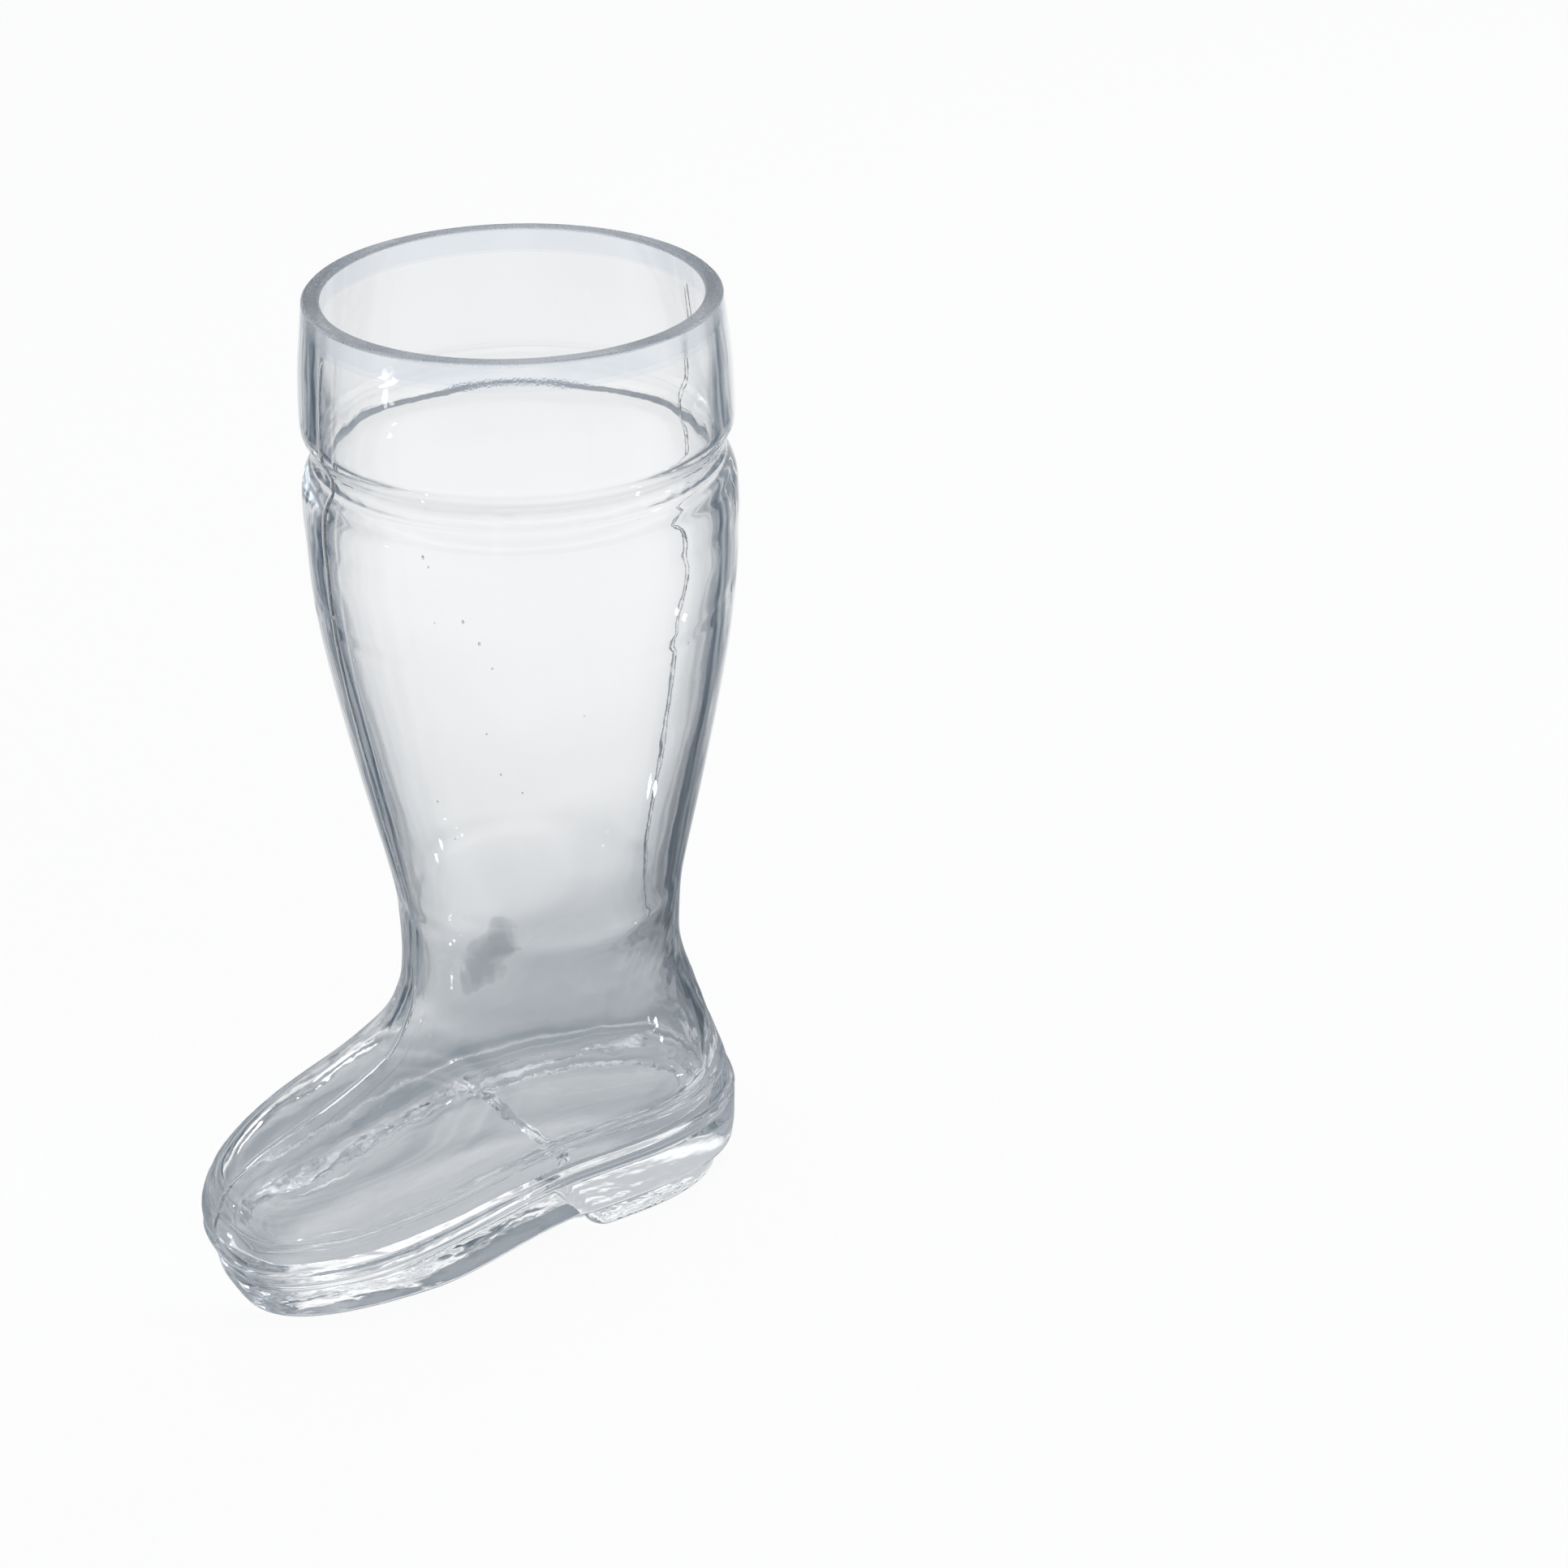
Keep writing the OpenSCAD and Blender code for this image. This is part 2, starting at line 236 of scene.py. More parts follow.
@dataclass
class Columns:
    """Places of the grid's columns along half of a contour, from the heel to the toe."""

    near_seam: tuple[float, ...] = (0.0, 0.25, 0.5, 0.75, 1.0, 1.4, 2.1, 3.0)
    middle: int = 100
    seam_steps: int = 4

    def ring(self, line: np.ndarray) -> np.ndarray:
        """Turns a half contour on the +Y side into a closed ring of columns.

        Args:
            line: Dense points of the half contour, from the heel to the toe.

        Returns:
            The ring's points, anticlockwise as seen from above.
        """
        step = np.linalg.norm(np.diff(line[:, :2], axis=0), axis=1)
        along = np.concatenate([[0.0], np.cumsum(step)])
        ends, length = np.array(self.near_seam), along[-1]
        inner = np.linspace(ends[-1], length - ends[-1], self.middle + 2)[1:-1]
        at = np.concatenate([ends, inner, (length - ends)[::-1]])
        half = np.stack([np.interp(at, along, line[:, k]) for k in range(line.shape[1])], 1)
        mirror = half[1:-1][::-1].copy()
        mirror[:, 1] *= -1
        return np.concatenate([half, mirror])

    @property
    def count(self) -> int:
        """Number of columns in a ring."""
        return 2 * (2 * len(self.near_seam) + self.middle) - 2

    @property
    def toe(self) -> int:
        """Column that runs down the front."""
        return self.count // 2

    @property
    def under_seams(self) -> np.ndarray:
        """Whether each strip between a column and the next lies under a mould seam."""
        at = (np.arange(self.count) + self.seam_steps) % self.toe
        return at < 2 * self.seam_steps


@dataclass
class BootForm:
    """The boot's outer form without its welt and seams, in millimetres from the leg's axis."""

    boot_h: float = 235.0
    rim_r: float = 46.0
    rim_z: float = 229.0
    cuff_z: float = 203.5
    groove_z: float = 195.5
    shoulder_z: float = 179.5
    ankle_z: float = 82.5
    ankle_r: float = 34.0
    instep_z: float = 54.0
    toe_reach: float = 91.0
    heel_reach: float = 48.6
    foot_half_w: float = 31.6
    shoulder_r: float = 49.2
    cuff_r: float = 48.4
    groove_r: float = 46.2
    wall_t: float = 4.0
    groove_wall_t: float = 2.8
    toe_square: float = 1.25
    heel_square: float = 0.9
    waist_share: float = 0.04
    sole_t: float = 10.8
    heel_seat_z: float = 19.2
    welt_h: float = 3.6
    sole_half_w: float = 29.0
    leg_shares: tuple = ((0.07, 0.045), (0.15, 0.14), (0.4, 0.47), (0.69, 0.81), (0.88, 0.955),
                         (1.0, 0.985))
    foot_shares: tuple = (
        (0.085, 0.955, 0.92, 0.925, 0.0), (0.133, 0.977, 0.96, 0.935, 0.0),
        (0.224, 1.000, 1.00, 0.955, 0.0), (0.291, 0.981, 0.94, 0.980, 0.0),
        (0.364, 0.915, 0.84, 1.000, 0.0), (0.436, 0.755, 0.71, 0.990, 0.0),
        (0.521, 0.430, 0.56, 0.950, 0.0), (0.618, 0.165, 0.39, 0.915, 0.0),
        (0.727, 0.050, 0.19, 0.900, 0.0), (0.836, 0.010, 0.06, 0.450, 0.464),
        (1.000, 0.000, 0.00, 0.000, 1.0))
    profile_steps: int = 24
    contour_levels: int = 161
    quarter_steps: int = 400
    crossing_steps: int = 40
    columns: Columns = field(default_factory=Columns)
    profile: np.ndarray = field(init=False)
    levels: np.ndarray = field(init=False)
    contours: np.ndarray = field(init=False)

    def __post_init__(self) -> None:
        """Works out the profile and the table of contours."""
        rows = []
        for z, toe, heel, wide, ankle in self.foot_shares:
            rows.append((self.ankle_z * z, lerp(self.ankle_r, self.toe_reach, toe),
                         lerp(self.ankle_r, self.heel_reach, heel),
                         self.foot_half_w * wide + self.ankle_r * ankle, self.wall_t))
        leg_h = self.shoulder_z - self.ankle_z
        for z, wide in self.leg_shares:
            r = lerp(self.ankle_r, self.shoulder_r, wide)
            rows.append((self.ankle_z + leg_h * z, r, r, r, self.wall_t))
        shoulder_top_r = lerp(self.groove_r, self.shoulder_r, 0.5)
        cuff_low_r = lerp(self.groove_r, self.cuff_r, 0.5)
        meet_wall = lerp(self.wall_t, self.groove_wall_t, 0.5)
        low, high = self.groove_z, self.cuff_z
        for z, r, wall in (
                (lerp(self.shoulder_z, low, 0.4), self.shoulder_r, self.wall_t),
                (lerp(self.shoulder_z, low, 0.8), lerp(shoulder_top_r, self.shoulder_r, 0.75), 3.8),
                (low, shoulder_top_r, meet_wall),
                (lerp(low, high, 0.25), lerp(self.groove_r, shoulder_top_r, 0.25), 3.0),
                (lerp(low, high, 0.5), self.groove_r, self.groove_wall_t),
                (lerp(low, high, 0.75), lerp(self.groove_r, cuff_low_r, 0.25), 3.0),
                (high, cuff_low_r, meet_wall),
                (lerp(high, self.rim_z, 0.125), self.cuff_r, self.wall_t),
                (lerp(high, self.rim_z, 0.6), lerp(self.rim_r, self.cuff_r, 0.8), self.wall_t),
                (self.rim_z, lerp(self.rim_r, self.cuff_r, 0.3), self.wall_t),
                (self.boot_h - 0.8, self.rim_r, self.wall_t)):
            rows.append((z, r, r, r, wall))
        at = np.arange((len(rows) - 1) * self.profile_steps + 1) / self.profile_steps
        self.profile = blend(np.array(rows), at)
        self.levels = np.linspace(self.profile[0, 0], self.ankle_z + 1.0, self.contour_levels)
        self.contours = np.array([self.ring(z) for z in self.levels])

    def at(self, z: np.ndarray | float, column: int) -> np.ndarray:
        """Returns a column of the profile at a height: 1 front, 2 back, 3 half width, 4 wall."""
        return np.interp(z, self.profile[:, 0], self.profile[:, column])

    def half_line(self, z: float, front: float, back: float, half: float) -> np.ndarray:
        """Draws half of the horizontal contour at a height.

        Args:
            z: Height of the contour.
            front: Its reach to the toe.
            back: Its reach to the heel.
            half: Its half width.

        Returns:
            Dense points from the heel to the toe on the +Y side.
        """
        low = float(np.clip((self.ankle_z - z) / (self.ankle_z - self.sole_t), 0, 1))
        quarter = 90 * ease(np.linspace(0, 1, self.quarter_steps))
        a = np.radians(np.concatenate([quarter, 90 + quarter[1:]]))
        ahead = np.cos(a) < 0
        n = np.where(ahead, 2 + self.toe_square * low ** 1.85, 2 + self.heel_square * low ** 3.6)
        mid = self.heel_reach * 0.048 * low
        reach = np.where(ahead, mid + front, back - mid)
        x = mid + reach * np.sign(np.cos(a)) * np.abs(np.cos(a)) ** (2 / n)
        hump = bell(x, -self.toe_reach * 0.158, self.toe_reach * 0.34)
        waist = 1 - self.waist_share * low ** 1.6 * hump
        y = half * np.abs(np.sin(a)) ** (2 / n) * waist
        y[0] = y[-1] = 0.0
        return np.stack([x, y], 1)

    def ring(self, z: float) -> np.ndarray:
        """Returns the ring of columns of the outer form at a height."""
        line = self.half_line(z, *(float(self.at(z, k)) for k in (1, 2, 3)))
        return self.columns.ring(line)

    def on_line(self, line: Callable[[np.ndarray], np.ndarray]) -> np.ndarray:
        """Finds the ring in which a line seen from the side crosses the outer form.

        Args:
            line: Gives the line's height at places along X.

        Returns:
            The ring's points.
        """
        z = line(np.zeros(self.columns.count))
        for _ in range(self.crossing_steps):
            at = np.interp(z, self.levels, np.arange(len(self.levels)))
            xy = blend(self.contours, at, np.arange(len(at)))
            z = line(xy[:, 0])
        return lifted(xy, z)

    def welt_z(self, x: np.ndarray) -> np.ndarray:
        """Returns the height of the sole's upper line."""
        a, b = -self.toe_reach * 0.747, -self.toe_reach * 0.066
        return self.sole_t + (self.heel_seat_z - self.sole_t) * ease((x - a) / (b - a))


@dataclass
class PieceMesh:
    """Vertices and faces of one closed piece, gathered patch by patch."""

    points: list[np.ndarray] = field(default_factory=list)
    normals: list[np.ndarray] = field(default_factory=list)
    faces: list[tuple[int, ...]] = field(default_factory=list)
    kinds: list[int] = field(default_factory=list)

    def add_points(self, points: np.ndarray, normals: np.ndarray) -> np.ndarray:
        """Adds a grid of points with their normals.

        Args:
            points: Rows of points.
            normals: Their normals.

        Returns:
            The rows of the points' numbers.
        """
        first = sum(len(part) for part in self.points)
        self.points.append(points.reshape(-1, 3))
        self.normals.append(normals.reshape(-1, 3))
        return first + np.arange(len(self.points[-1])).reshape(points.shape[:2])

    def add_band(self, low: np.ndarray, high: np.ndarray, kinds: np.ndarray | Face,
                 wrap: bool = True) -> None:
        """Adds the faces between two rows of point numbers.

        Args:
            low: Point numbers of the first row.
            high: Point numbers of the next row, on the left of the first as seen from outside.
            kinds: The kind of the faces, or one for each.
            wrap: Whether the rows are closed.
        """
        n = len(low)
        kinds = np.broadcast_to(kinds, n)
        for i in range(n if wrap else n - 1):
            j = (i + 1) % n
            self.faces.append((int(low[i]), int(low[j]), int(high[j]), int(high[i])))
            self.kinds.append(int(kinds[i]))

    def add_loft(self, rings: np.ndarray, normals: np.ndarray,
                 kinds: Face | Sequence[np.ndarray | Face]) -> np.ndarray:
        """Adds a stack of closed rings and the bands between them.

        Args:
            rings: Rows of points.
            normals: Their normals.
            kinds: The kind of the faces, or one for each band.

        Returns:
            The rows of the points' numbers.
        """
        rows = self.add_points(rings, normals)
        bands = [kinds] * (len(rows) - 1) if isinstance(kinds, Face) else kinds
        for low, high, kind in zip(rows, rows[1:], bands):
            self.add_band(low, high, kind)
        return rows

    def to_bmesh(self) -> bmesh.types.BMesh:
        """Welds the patches into one mesh.

        Returns:
            The piece in metres, with its normals in a layer.
        """
        bm = bmesh.new()
        layer = bm.verts.layers.float_vector.new(NORMAL_LAYER)
        points = np.concatenate(self.points) + (BOOT_SHIFT, 0, 0)
        normals = np.concatenate(self.normals)
        for p, n in zip(points * MM, normals):
            v = bm.verts.new(p)
            v[layer] = n
        bm.verts.ensure_lookup_table()
        for face, kind in zip(self.faces, self.kinds):
            corners = [bm.verts[i] for i in dict.fromkeys(face)]
            if len(corners) > 2:
                made = bm.faces.new(corners)
                made.material_index = kind
                made.smooth = True
        bmesh.ops.remove_doubles(bm, verts=bm.verts, dist=WELD)
        bmesh.ops.dissolve_degenerate(bm, edges=bm.edges, dist=SLIVER)
        return bm


def cut_away(bm: bmesh.types.BMesh, x: float, away: tuple[float, float, float]) -> None:
    """Cuts off what lies beyond a plane and closes the cut with a joint face.

    Args:
        bm: The piece, in metres.
        x: Where the plane crosses the ground, in millimetres from the leg's axis.
        away: Direction of the side that is cut off.
    """
    bmesh.ops.bisect_plane(bm, geom=bm.verts[:] + bm.edges[:] + bm.faces[:], dist=SLIVER,
                           plane_co=Vector(((x + BOOT_SHIFT) * MM, 0, 0)),
                           plane_no=Vector(away), clear_outer=True)
    edges = [e for e in bm.edges if e.is_boundary]
    for face in bmesh.ops.holes_fill(bm, edges=edges, sides=0)["faces"]:
        face.material_index = Face.JOINT
        face.smooth = False


def put_in_scene(name: str, data: bpy.types.ID) -> bpy.types.Object:
    """Puts a mesh, a lamp or a camera in the scene.

    Args:
        name: Name of its object.
        data: The mesh, the lamp or the camera.

    Returns:
        The object.
    """
    made = bpy.data.objects.new(name, data)
    bpy.context.scene.collection.objects.link(made)
    return made


class NodeKit:
    """Adds nodes to a shader tree and links them."""

    def __init__(self, tree: bpy.types.ShaderNodeTree) -> None:
        """Keeps the tree that gets the nodes."""
        self.nodes, self.links = tree.nodes, tree.links

    def fill(self, node: bpy.types.Node, given: dict) -> None:
        """Sets a node's inputs.

        Args:
            node: The node.
            given: Values or other nodes' outputs, by the input's name or number.
        """
        for name, value in given.items():
            if isinstance(value, Socket):
                self.links.new(value, node.inputs[name])
            else:
                node.inputs[name].default_value = value

    def add(self, kind: str, given: dict | None = None, **settings) -> bpy.types.Node:
        """Adds a node.

        Args:
            kind: Its type, without the word ShaderNode.
            given: Its inputs, as in fill.
            **settings: The node's own settings.

        Returns:
            The node.
        """
        node = self.nodes.new("ShaderNode" + kind)
        for name, value in settings.items():
            setattr(node, name, value)
        self.fill(node, given or {})
        return node

    def math(self, operation: str, *values: Socket | float, clamp: bool = False) -> Socket:
        """Adds a sum of one kind on values or outputs and returns its output."""
        given = dict(enumerate(values))
        return self.add("Math", given, operation=operation, use_clamp=clamp).outputs[0]

    def length(self, vector: Socket) -> Socket:
        """Adds a node that measures a vector and returns its output."""
        return self.add("VectorMath", {0: vector}, operation="LENGTH").outputs["Value"]

    def mix(self, share: Socket | float, a: Socket, b: Socket | tuple,
            blend: str = "MIX") -> Socket:
        """Adds a mix of two colours and returns its output."""
        given = {"Factor": share, "A": a, "B": b}
        return self.add("Mix", given, data_type="RGBA", blend_type=blend).outputs["Result"]

    def ramp(self, stops: Stops, place: Socket) -> Socket:
        """Adds a smooth ramp of greys that are the cooler the darker they are.

        Args:
            stops: Places and grey values.
            place: The output that is looked up in it.

        Returns:
            The output with the colour.
        """
        node = self.add("ValToRGB", {0: place})
        elements = node.color_ramp.elements
        node.color_ramp.interpolation = "EASE"
        while len(elements) < len(stops):
            elements.new(0.5)
        for element, (at, value) in zip(elements, stops):
            cool = 0.05 * (1 - value)
            element.position = at
            element.color = (value - cool, value, value + cool, 1.0)
        return node.outputs["Color"]

    def white_to_camera(self, color: Socket) -> Socket:
        """Returns the output of a colour that the camera itself sees as white."""
        return self.mix(self.add("LightPath").outputs["Is Camera Ray"], color, WHITE)


class Palette:
    """Builds the boot's materials and the shader group that they share."""

    def __init__(self) -> None:
        """Builds the shared group."""
        self.surface = self.build_surface_group()
        self.made: dict[str, bpy.types.Material] = {}

    @staticmethod
    def build_surface_group() -> bpy.types.ShaderNodeTree:
        """Builds the group that gives moulded glass its ripples, grain and faint tint.

        Returns:
            The group, with the outputs Color, Roughness and Height.
        """
        tree = bpy.data.node_groups.new("moulded_glass_surface", "ShaderNodeTree")
        for way, names in (("INPUT", ("Tint", "Ripple size", "Ripple depth", "Grain size",
                                      "Grain depth", "Roughness low", "Roughness high", "Frost")),
                           ("OUTPUT", ("Color", "Roughness", "Height"))):
            for name in names:
                kind = "NodeSocketColor" if name in ("Tint", "Color") else "NodeSocketFloat"
                tree.interface.new_socket(name, in_out=way, socket_type=kind)
        kit = NodeKit(tree)
        given = kit.nodes.new("NodeGroupInput").outputs
        place = kit.add("TexCoord").outputs["Object"]

        def noise_of(size: str, detail: float,
                     stretch: tuple[float, float, float]) -> Socket:
            """Adds a noise whose waves have a given size.

            Args:
                size: Name of the input that gives the size.
                detail: The noise's detail.
                stretch: Its scale along each axis.

            Returns:
                The output with its height round zero.
            """
            vector = kit.add("Mapping", {"Vector": place, "Scale": stretch}).outputs[0]
            scale = kit.math("DIVIDE", 1.0, given[size])
            made = kit.add("TexNoise", {"Vector": vector, "Scale": scale, "Detail": detail})
            return kit.math("SUBTRACT", made.outputs[0], 0.5)

        ripple = noise_of("Ripple size", 1.5, (1.0, 1.0, 0.45))
        grain = noise_of("Grain size", 3.0, (1.0, 1.0, 1.0))
        spread = kit.add("MapRange", {
            "Value": ripple, "From Min": 0.0, "From Max": 0.35,
            "To Min": given["Roughness low"], "To Max": given["Roughness high"]})
        frost = kit.math("MULTIPLY", given["Frost"], kit.math("ADD", grain, 0.4))
        kit.fill(kit.nodes.new("NodeGroupOutput"), {
            "Color": kit.mix(kit.math("ADD", ripple, 0.3), given["Tint"], WHITE),
            "Roughness": kit.math("ADD", spread.outputs[0], frost),
            "Height": kit.math("ADD", kit.math("MULTIPLY", ripple, given["Ripple depth"]),
                               kit.math("MULTIPLY", grain, given["Grain depth"]))})
        return tree

    def glass(self, finish: GlassFinish) -> bpy.types.Material:
        """Builds a glass from the shared group, or returns it if it is built.

        Args:
            finish: The finish that the glass has.

        Returns:
            The material.
        """
        if finish.name in self.made:
            return self.made[finish.name]
        material = bpy.data.materials.new(finish.name)
        material.use_nodes = True
        kit = NodeKit(material.node_tree)
        joint, frost = (kit.add("Attribute", attribute_name=layer).outputs["Fac"]
                        for layer in (JOINT_LAYER, FROST_LAYER))
        group = kit.add("Group", node_tree=self.surface)
        kit.fill(group, {
            "Tint": (*finish.tint, 1.0), "Ripple size": finish.ripple_size,
            "Ripple depth": finish.ripple_depth, "Grain size": finish.grain_size,
            "Grain depth": finish.grain_depth, "Roughness low": finish.roughness_low,
            "Roughness high": finish.roughness_high, "Frost": frost})
        bump = kit.add("Bump", {"Distance": 1.0, "Height": group.outputs["Height"]})
        shader = kit.nodes["Principled BSDF"]
        kit.fill(shader, {
            "Transmission Weight": 1.0, "IOR": IOR, "Base Color": group.outputs["Color"],
            "Roughness": group.outputs["Roughness"], "Normal": bump.outputs["Normal"],
            "Alpha": kit.math("SUBTRACT", 1.0, joint)})
        body = kit.add("VolumeAbsorption", {"Color": (*finish.body, 1.0),
                                            "Density": finish.density})
        shadow = kit.add("BsdfTransparent", {"Color": (*finish.shadow, 1.0)})
        mix = kit.add("MixShader", {"Fac": kit.add("LightPath").outputs["Is Shadow Ray"],
                                    1: shader.outputs[0], 2: shadow.outputs[0]})
        kit.fill(kit.nodes["Material Output"], {"Volume": body.outputs[0],
                                                "Surface": mix.outputs[0]})
        self.made[finish.name] = material
        return material

    def finish_piece(self, bm: bmesh.types.BMesh, name: str, finish: GlassFinish) -> None:
        """Makes a Blender piece of a bmesh and puts it in the frame.

        Args:
            bm: The closed piece, in metres.
            name: The CAD node that it stands for.
            finish: Its finish.
        """
        bmesh.ops.recalc_face_normals(bm, faces=bm.faces)
        self.part_joints(bm)
        open_edges = sum(1 for e in bm.edges if not e.is_manifold)
        mesh = bpy.data.meshes.new(name + "_glass")
        bm.to_mesh(mesh)
        bm.free()
        mesh.materials.append(self.glass(finish))
        self.set_normals(mesh)
        piece = put_in_scene(name + "_glass", mesh)
        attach(piece, "root")
        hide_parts(name)
        LOG.info("%s: %d faces, %d open edges", piece.name, len(mesh.polygons), open_edges)

    @staticmethod
    def part_joints(bm: bmesh.types.BMesh) -> None:
        """Draws the faces at which pieces meet back by a hair, so that no two coincide.

        Args:
            bm: The piece, in metres.
        """
        for v in bm.verts:
            way = Vector()
            for face in v.link_faces:
                if face.material_index == Face.JOINT:
                    way += face.normal
            if way.length > 0.1:
                v.co -= way.normalized() * JOINT_GAP

    @staticmethod
    def set_normals(mesh: bpy.types.Mesh) -> None:
        """Gives a mesh the normals of the whole glass, so that light passes its joints unbent.

        Args:
            mesh: The piece's mesh, with the glass's normals in a layer.
        """
        count = len(mesh.vertices)
        stored = np.zeros(count * 3, np.float32)
        mesh.attributes[NORMAL_LAYER].data.foreach_get("vector", stored)
        stored = stored.reshape(-1, 3)
        length = np.linalg.norm(stored, axis=1, keepdims=True)
        corner = np.zeros(len(mesh.loops), np.int32)
        mesh.loops.foreach_get("vertex_index", corner)
        made = (stored / np.maximum(length, 1e-9))[corner]
        for face in mesh.polygons:
            span = slice(face.loop_start, face.loop_start + face.loop_total)
            flat = np.array(face.normal)
            if face.material_index == Face.JOINT:
                made[span] = flat
            else:
                weak = (length[corner[span], 0] < 0.5) | (made[span] @ flat < 0.05)
                made[span][weak] = flat
        kinds = np.zeros(len(mesh.polygons), np.int32)
        mesh.polygons.foreach_get("material_index", kinds)
        for layer, kind in ((JOINT_LAYER, Face.JOINT), (FROST_LAYER, Face.GROUND)):
            mask = mesh.attributes.new(layer, "FLOAT", "FACE")
            mask.data.foreach_set("value", (kinds == kind).astype(np.float32))
        mesh.polygons.foreach_set("material_index", np.zeros_like(kinds))
        mesh.normals_split_custom_set([tuple(float(c) for c in n) for n in made])


@dataclass
class Upper:
    """The rim, collar, leg and upper foot: one shell of glass, cut into its named features."""

    form: BootForm
    palette: Palette
    bevel: float = 0.8
    welt_proud: float = 0.6
    fillet_w: float = 13.5
    fillet_h: float = 24.0
    fillet_power: float = 2.6
    spine_inset: float = 20.0
    most_push: float = 0.85
    turn_h: float = 26.0
    calm_h: float = 12.0
    inner_calm_h: float = 20.0
    true_h: float = 2.5
    collar_in: float = 0.08
    collar_below: float = 30.0
    foot_fade: tuple[float, float] = (70.0, 60.0)
    deep_fade: tuple[float, float] = (60.0, 70.0)
    floor_edge: tuple[float, float] = (0.8, 1.6)
    groove_reach: float = 3.0
    still_rows: float = 3.0
    welt_steps: int = 8
    foot_rows: int = 44
    toe_cap_x: float = 62.0
    counter_x: float = 12.0
    wall_wave: Wave = Wave(26, 3.1, 0.10)
    fine_wave: Wave = Wave(9, 7.7, 0.03)
    heel_ripple: Wave = Wave(5.5, 11.3, 0.34, middle=(46, 36), reach=(16, 22))
    toe_ripple: Wave = Wave(7, 12.9, 0.26, (0.5, 0.5, 3.0), (-88, 22), (12, 12))
    inner_swell: Wave = Wave(34, 21.7)
    inner_wave: Wave = Wave(12, 5.9, 1.0, (1.0, 1.0, 0.6))
    floor_edge_ripple: Wave = Wave(2.4, 33.1, 0.07)
    groove_ripple: Wave = Wave(2.5, 35.7, 0.14)
    outer: np.ndarray = field(init=False)
    outer_n: np.ndarray = field(init=False)
    inner: np.ndarray = field(init=False)
    inner_n: np.ndarray = field(init=False)
    marks: dict[str, int] = field(default_factory=lambda: {"sole": 0})

    def __post_init__(self) -> None:
        """Lays the rows of both skins from the sole's line up to the rim."""
        form = self.form
        rows = []
        for k in range(self.welt_steps + 1):
            u = k / self.welt_steps
            rows.append(form.on_line(lambda x, u=u: form.welt_z(x) + form.welt_h * u))
        self.marks["welt_top"] = len(rows) - 1
        for k in range(1, self.foot_rows + 1):
            u = k / self.foot_rows
            rows.append(form.on_line(
                lambda x, u=u: lerp(form.welt_z(x) + form.welt_h, form.instep_z, u)))
        self.marks["instep"] = len(rows) - 1
        z = form.instep_z
        for name, top, step in (("ankle", form.ankle_z, 1.2), ("leg", form.shoulder_z, 1.5),
                                ("shoulder", form.groove_z, 0.9), ("groove", form.cuff_z, 0.5),
                                ("cuff", form.rim_z, 0.9), ("rim", form.boot_h - self.bevel, 0.9)):
            for level in np.linspace(z, top, math.ceil((top - z) / step) + 1)[1:]:
                rows.append(lifted(form.ring(level), level))
            z = top
            self.marks[name] = len(rows) - 1
        base = np.array(rows)
        normals = grid_normals(base)
        self.build_outer(base, normals)
        self.build_inner(base, normals)

    def build_outer(self, base: np.ndarray, normals: np.ndarray) -> None:
        """Adds the welt's bead, the mould's unevenness and the heel's ripples to the outer skin.

        Args:
            base: The plain grid.
            normals: Its normals.
        """
        form = self.form
        grow = np.zeros(base.shape[:2])
        for k in range(self.welt_steps + 1):
            u = k / self.welt_steps
            grow[k] = self.welt_proud * (1 - (2 * u - 1) ** 4)
        z = base[..., 2]
        foot = fade(z, *self.foot_fade)
        plain = ease((form.boot_h - z) / self.calm_h)
        uneven = self.wall_wave.over(base) + self.fine_wave.over(base) * (0.4 + foot)
        ripple = self.heel_ripple.over(base) + self.toe_ripple.over(base)
        held_in = self.collar_in * plain * (z > form.groove_z - self.collar_below)
        grow += (uneven + ripple) * plain - held_in
        grow[z > form.boot_h - self.true_h] = 0
        self.outer = base + normals * grow[..., None]
        self.outer_n = grid_normals(self.outer)

    def build_inner(self, base: np.ndarray, normals: np.ndarray) -> None:
        """Sets the inner skin in by the wall and rounds it into the floor of the foot.

        Args:
            base: The plain grid.
            normals: Its normals.
        """
        form = self.form
        flat = unit(normals * (1, 1, 0))
        z = base[..., 2]
        wall = form.at(z, 4)
        turned = ease((z - form.ankle_z + self.turn_h) / self.turn_h)[..., None]
        square = base - normals * wall[..., None]
        level = base - flat * (wall / np.maximum(
            np.linalg.norm(normals[..., :2], axis=2), 0.3))[..., None]
        level[..., 2] = z
        inner = square * (1 - turned) + level * turned
        floor = form.welt_z(inner[..., 0])
        top = self.marks["welt_top"]
        power = self.fillet_power
        start = 1 - form.welt_h / self.fillet_h
        for k in range(self.marks["instep"] + 1):
            if k <= top:
                out = (1 - start ** power) ** (1 / power) * math.sin(math.pi / 2 * k / top)
                share = np.full(inner.shape[1], (1 - out ** power) ** (1 / power))
                rise = self.fillet_h * (1 - share)
                anchor = inner[top]
            else:
                rise = inner[k, :, 2] - floor[k]
                share = np.clip(1 - rise / self.fillet_h, 0, 1)
                anchor = inner[k]
            push = self.fillet_w * (1 - (1 - share ** power) ** (1 / power))
            way = spine_of(anchor, self.spine_inset) - anchor
            reach = np.maximum(np.linalg.norm(way, axis=1), 1e-6)
            moved = anchor + way * np.minimum(push / reach, self.most_push)[:, None]
            moved[:, 2] = form.welt_z(moved[:, 0]) + rise
            inner[k] = moved
        deep = fade(z, *self.deep_fade)
        plain = ease((form.boot_h - z) / self.inner_calm_h)
        wave = (self.inner_swell.over(inner) * (0.12 + 0.34 * deep)
                + self.inner_wave.over(inner) * (0.03 + 0.13 * deep))
        above = z - form.welt_z(inner[..., 0])
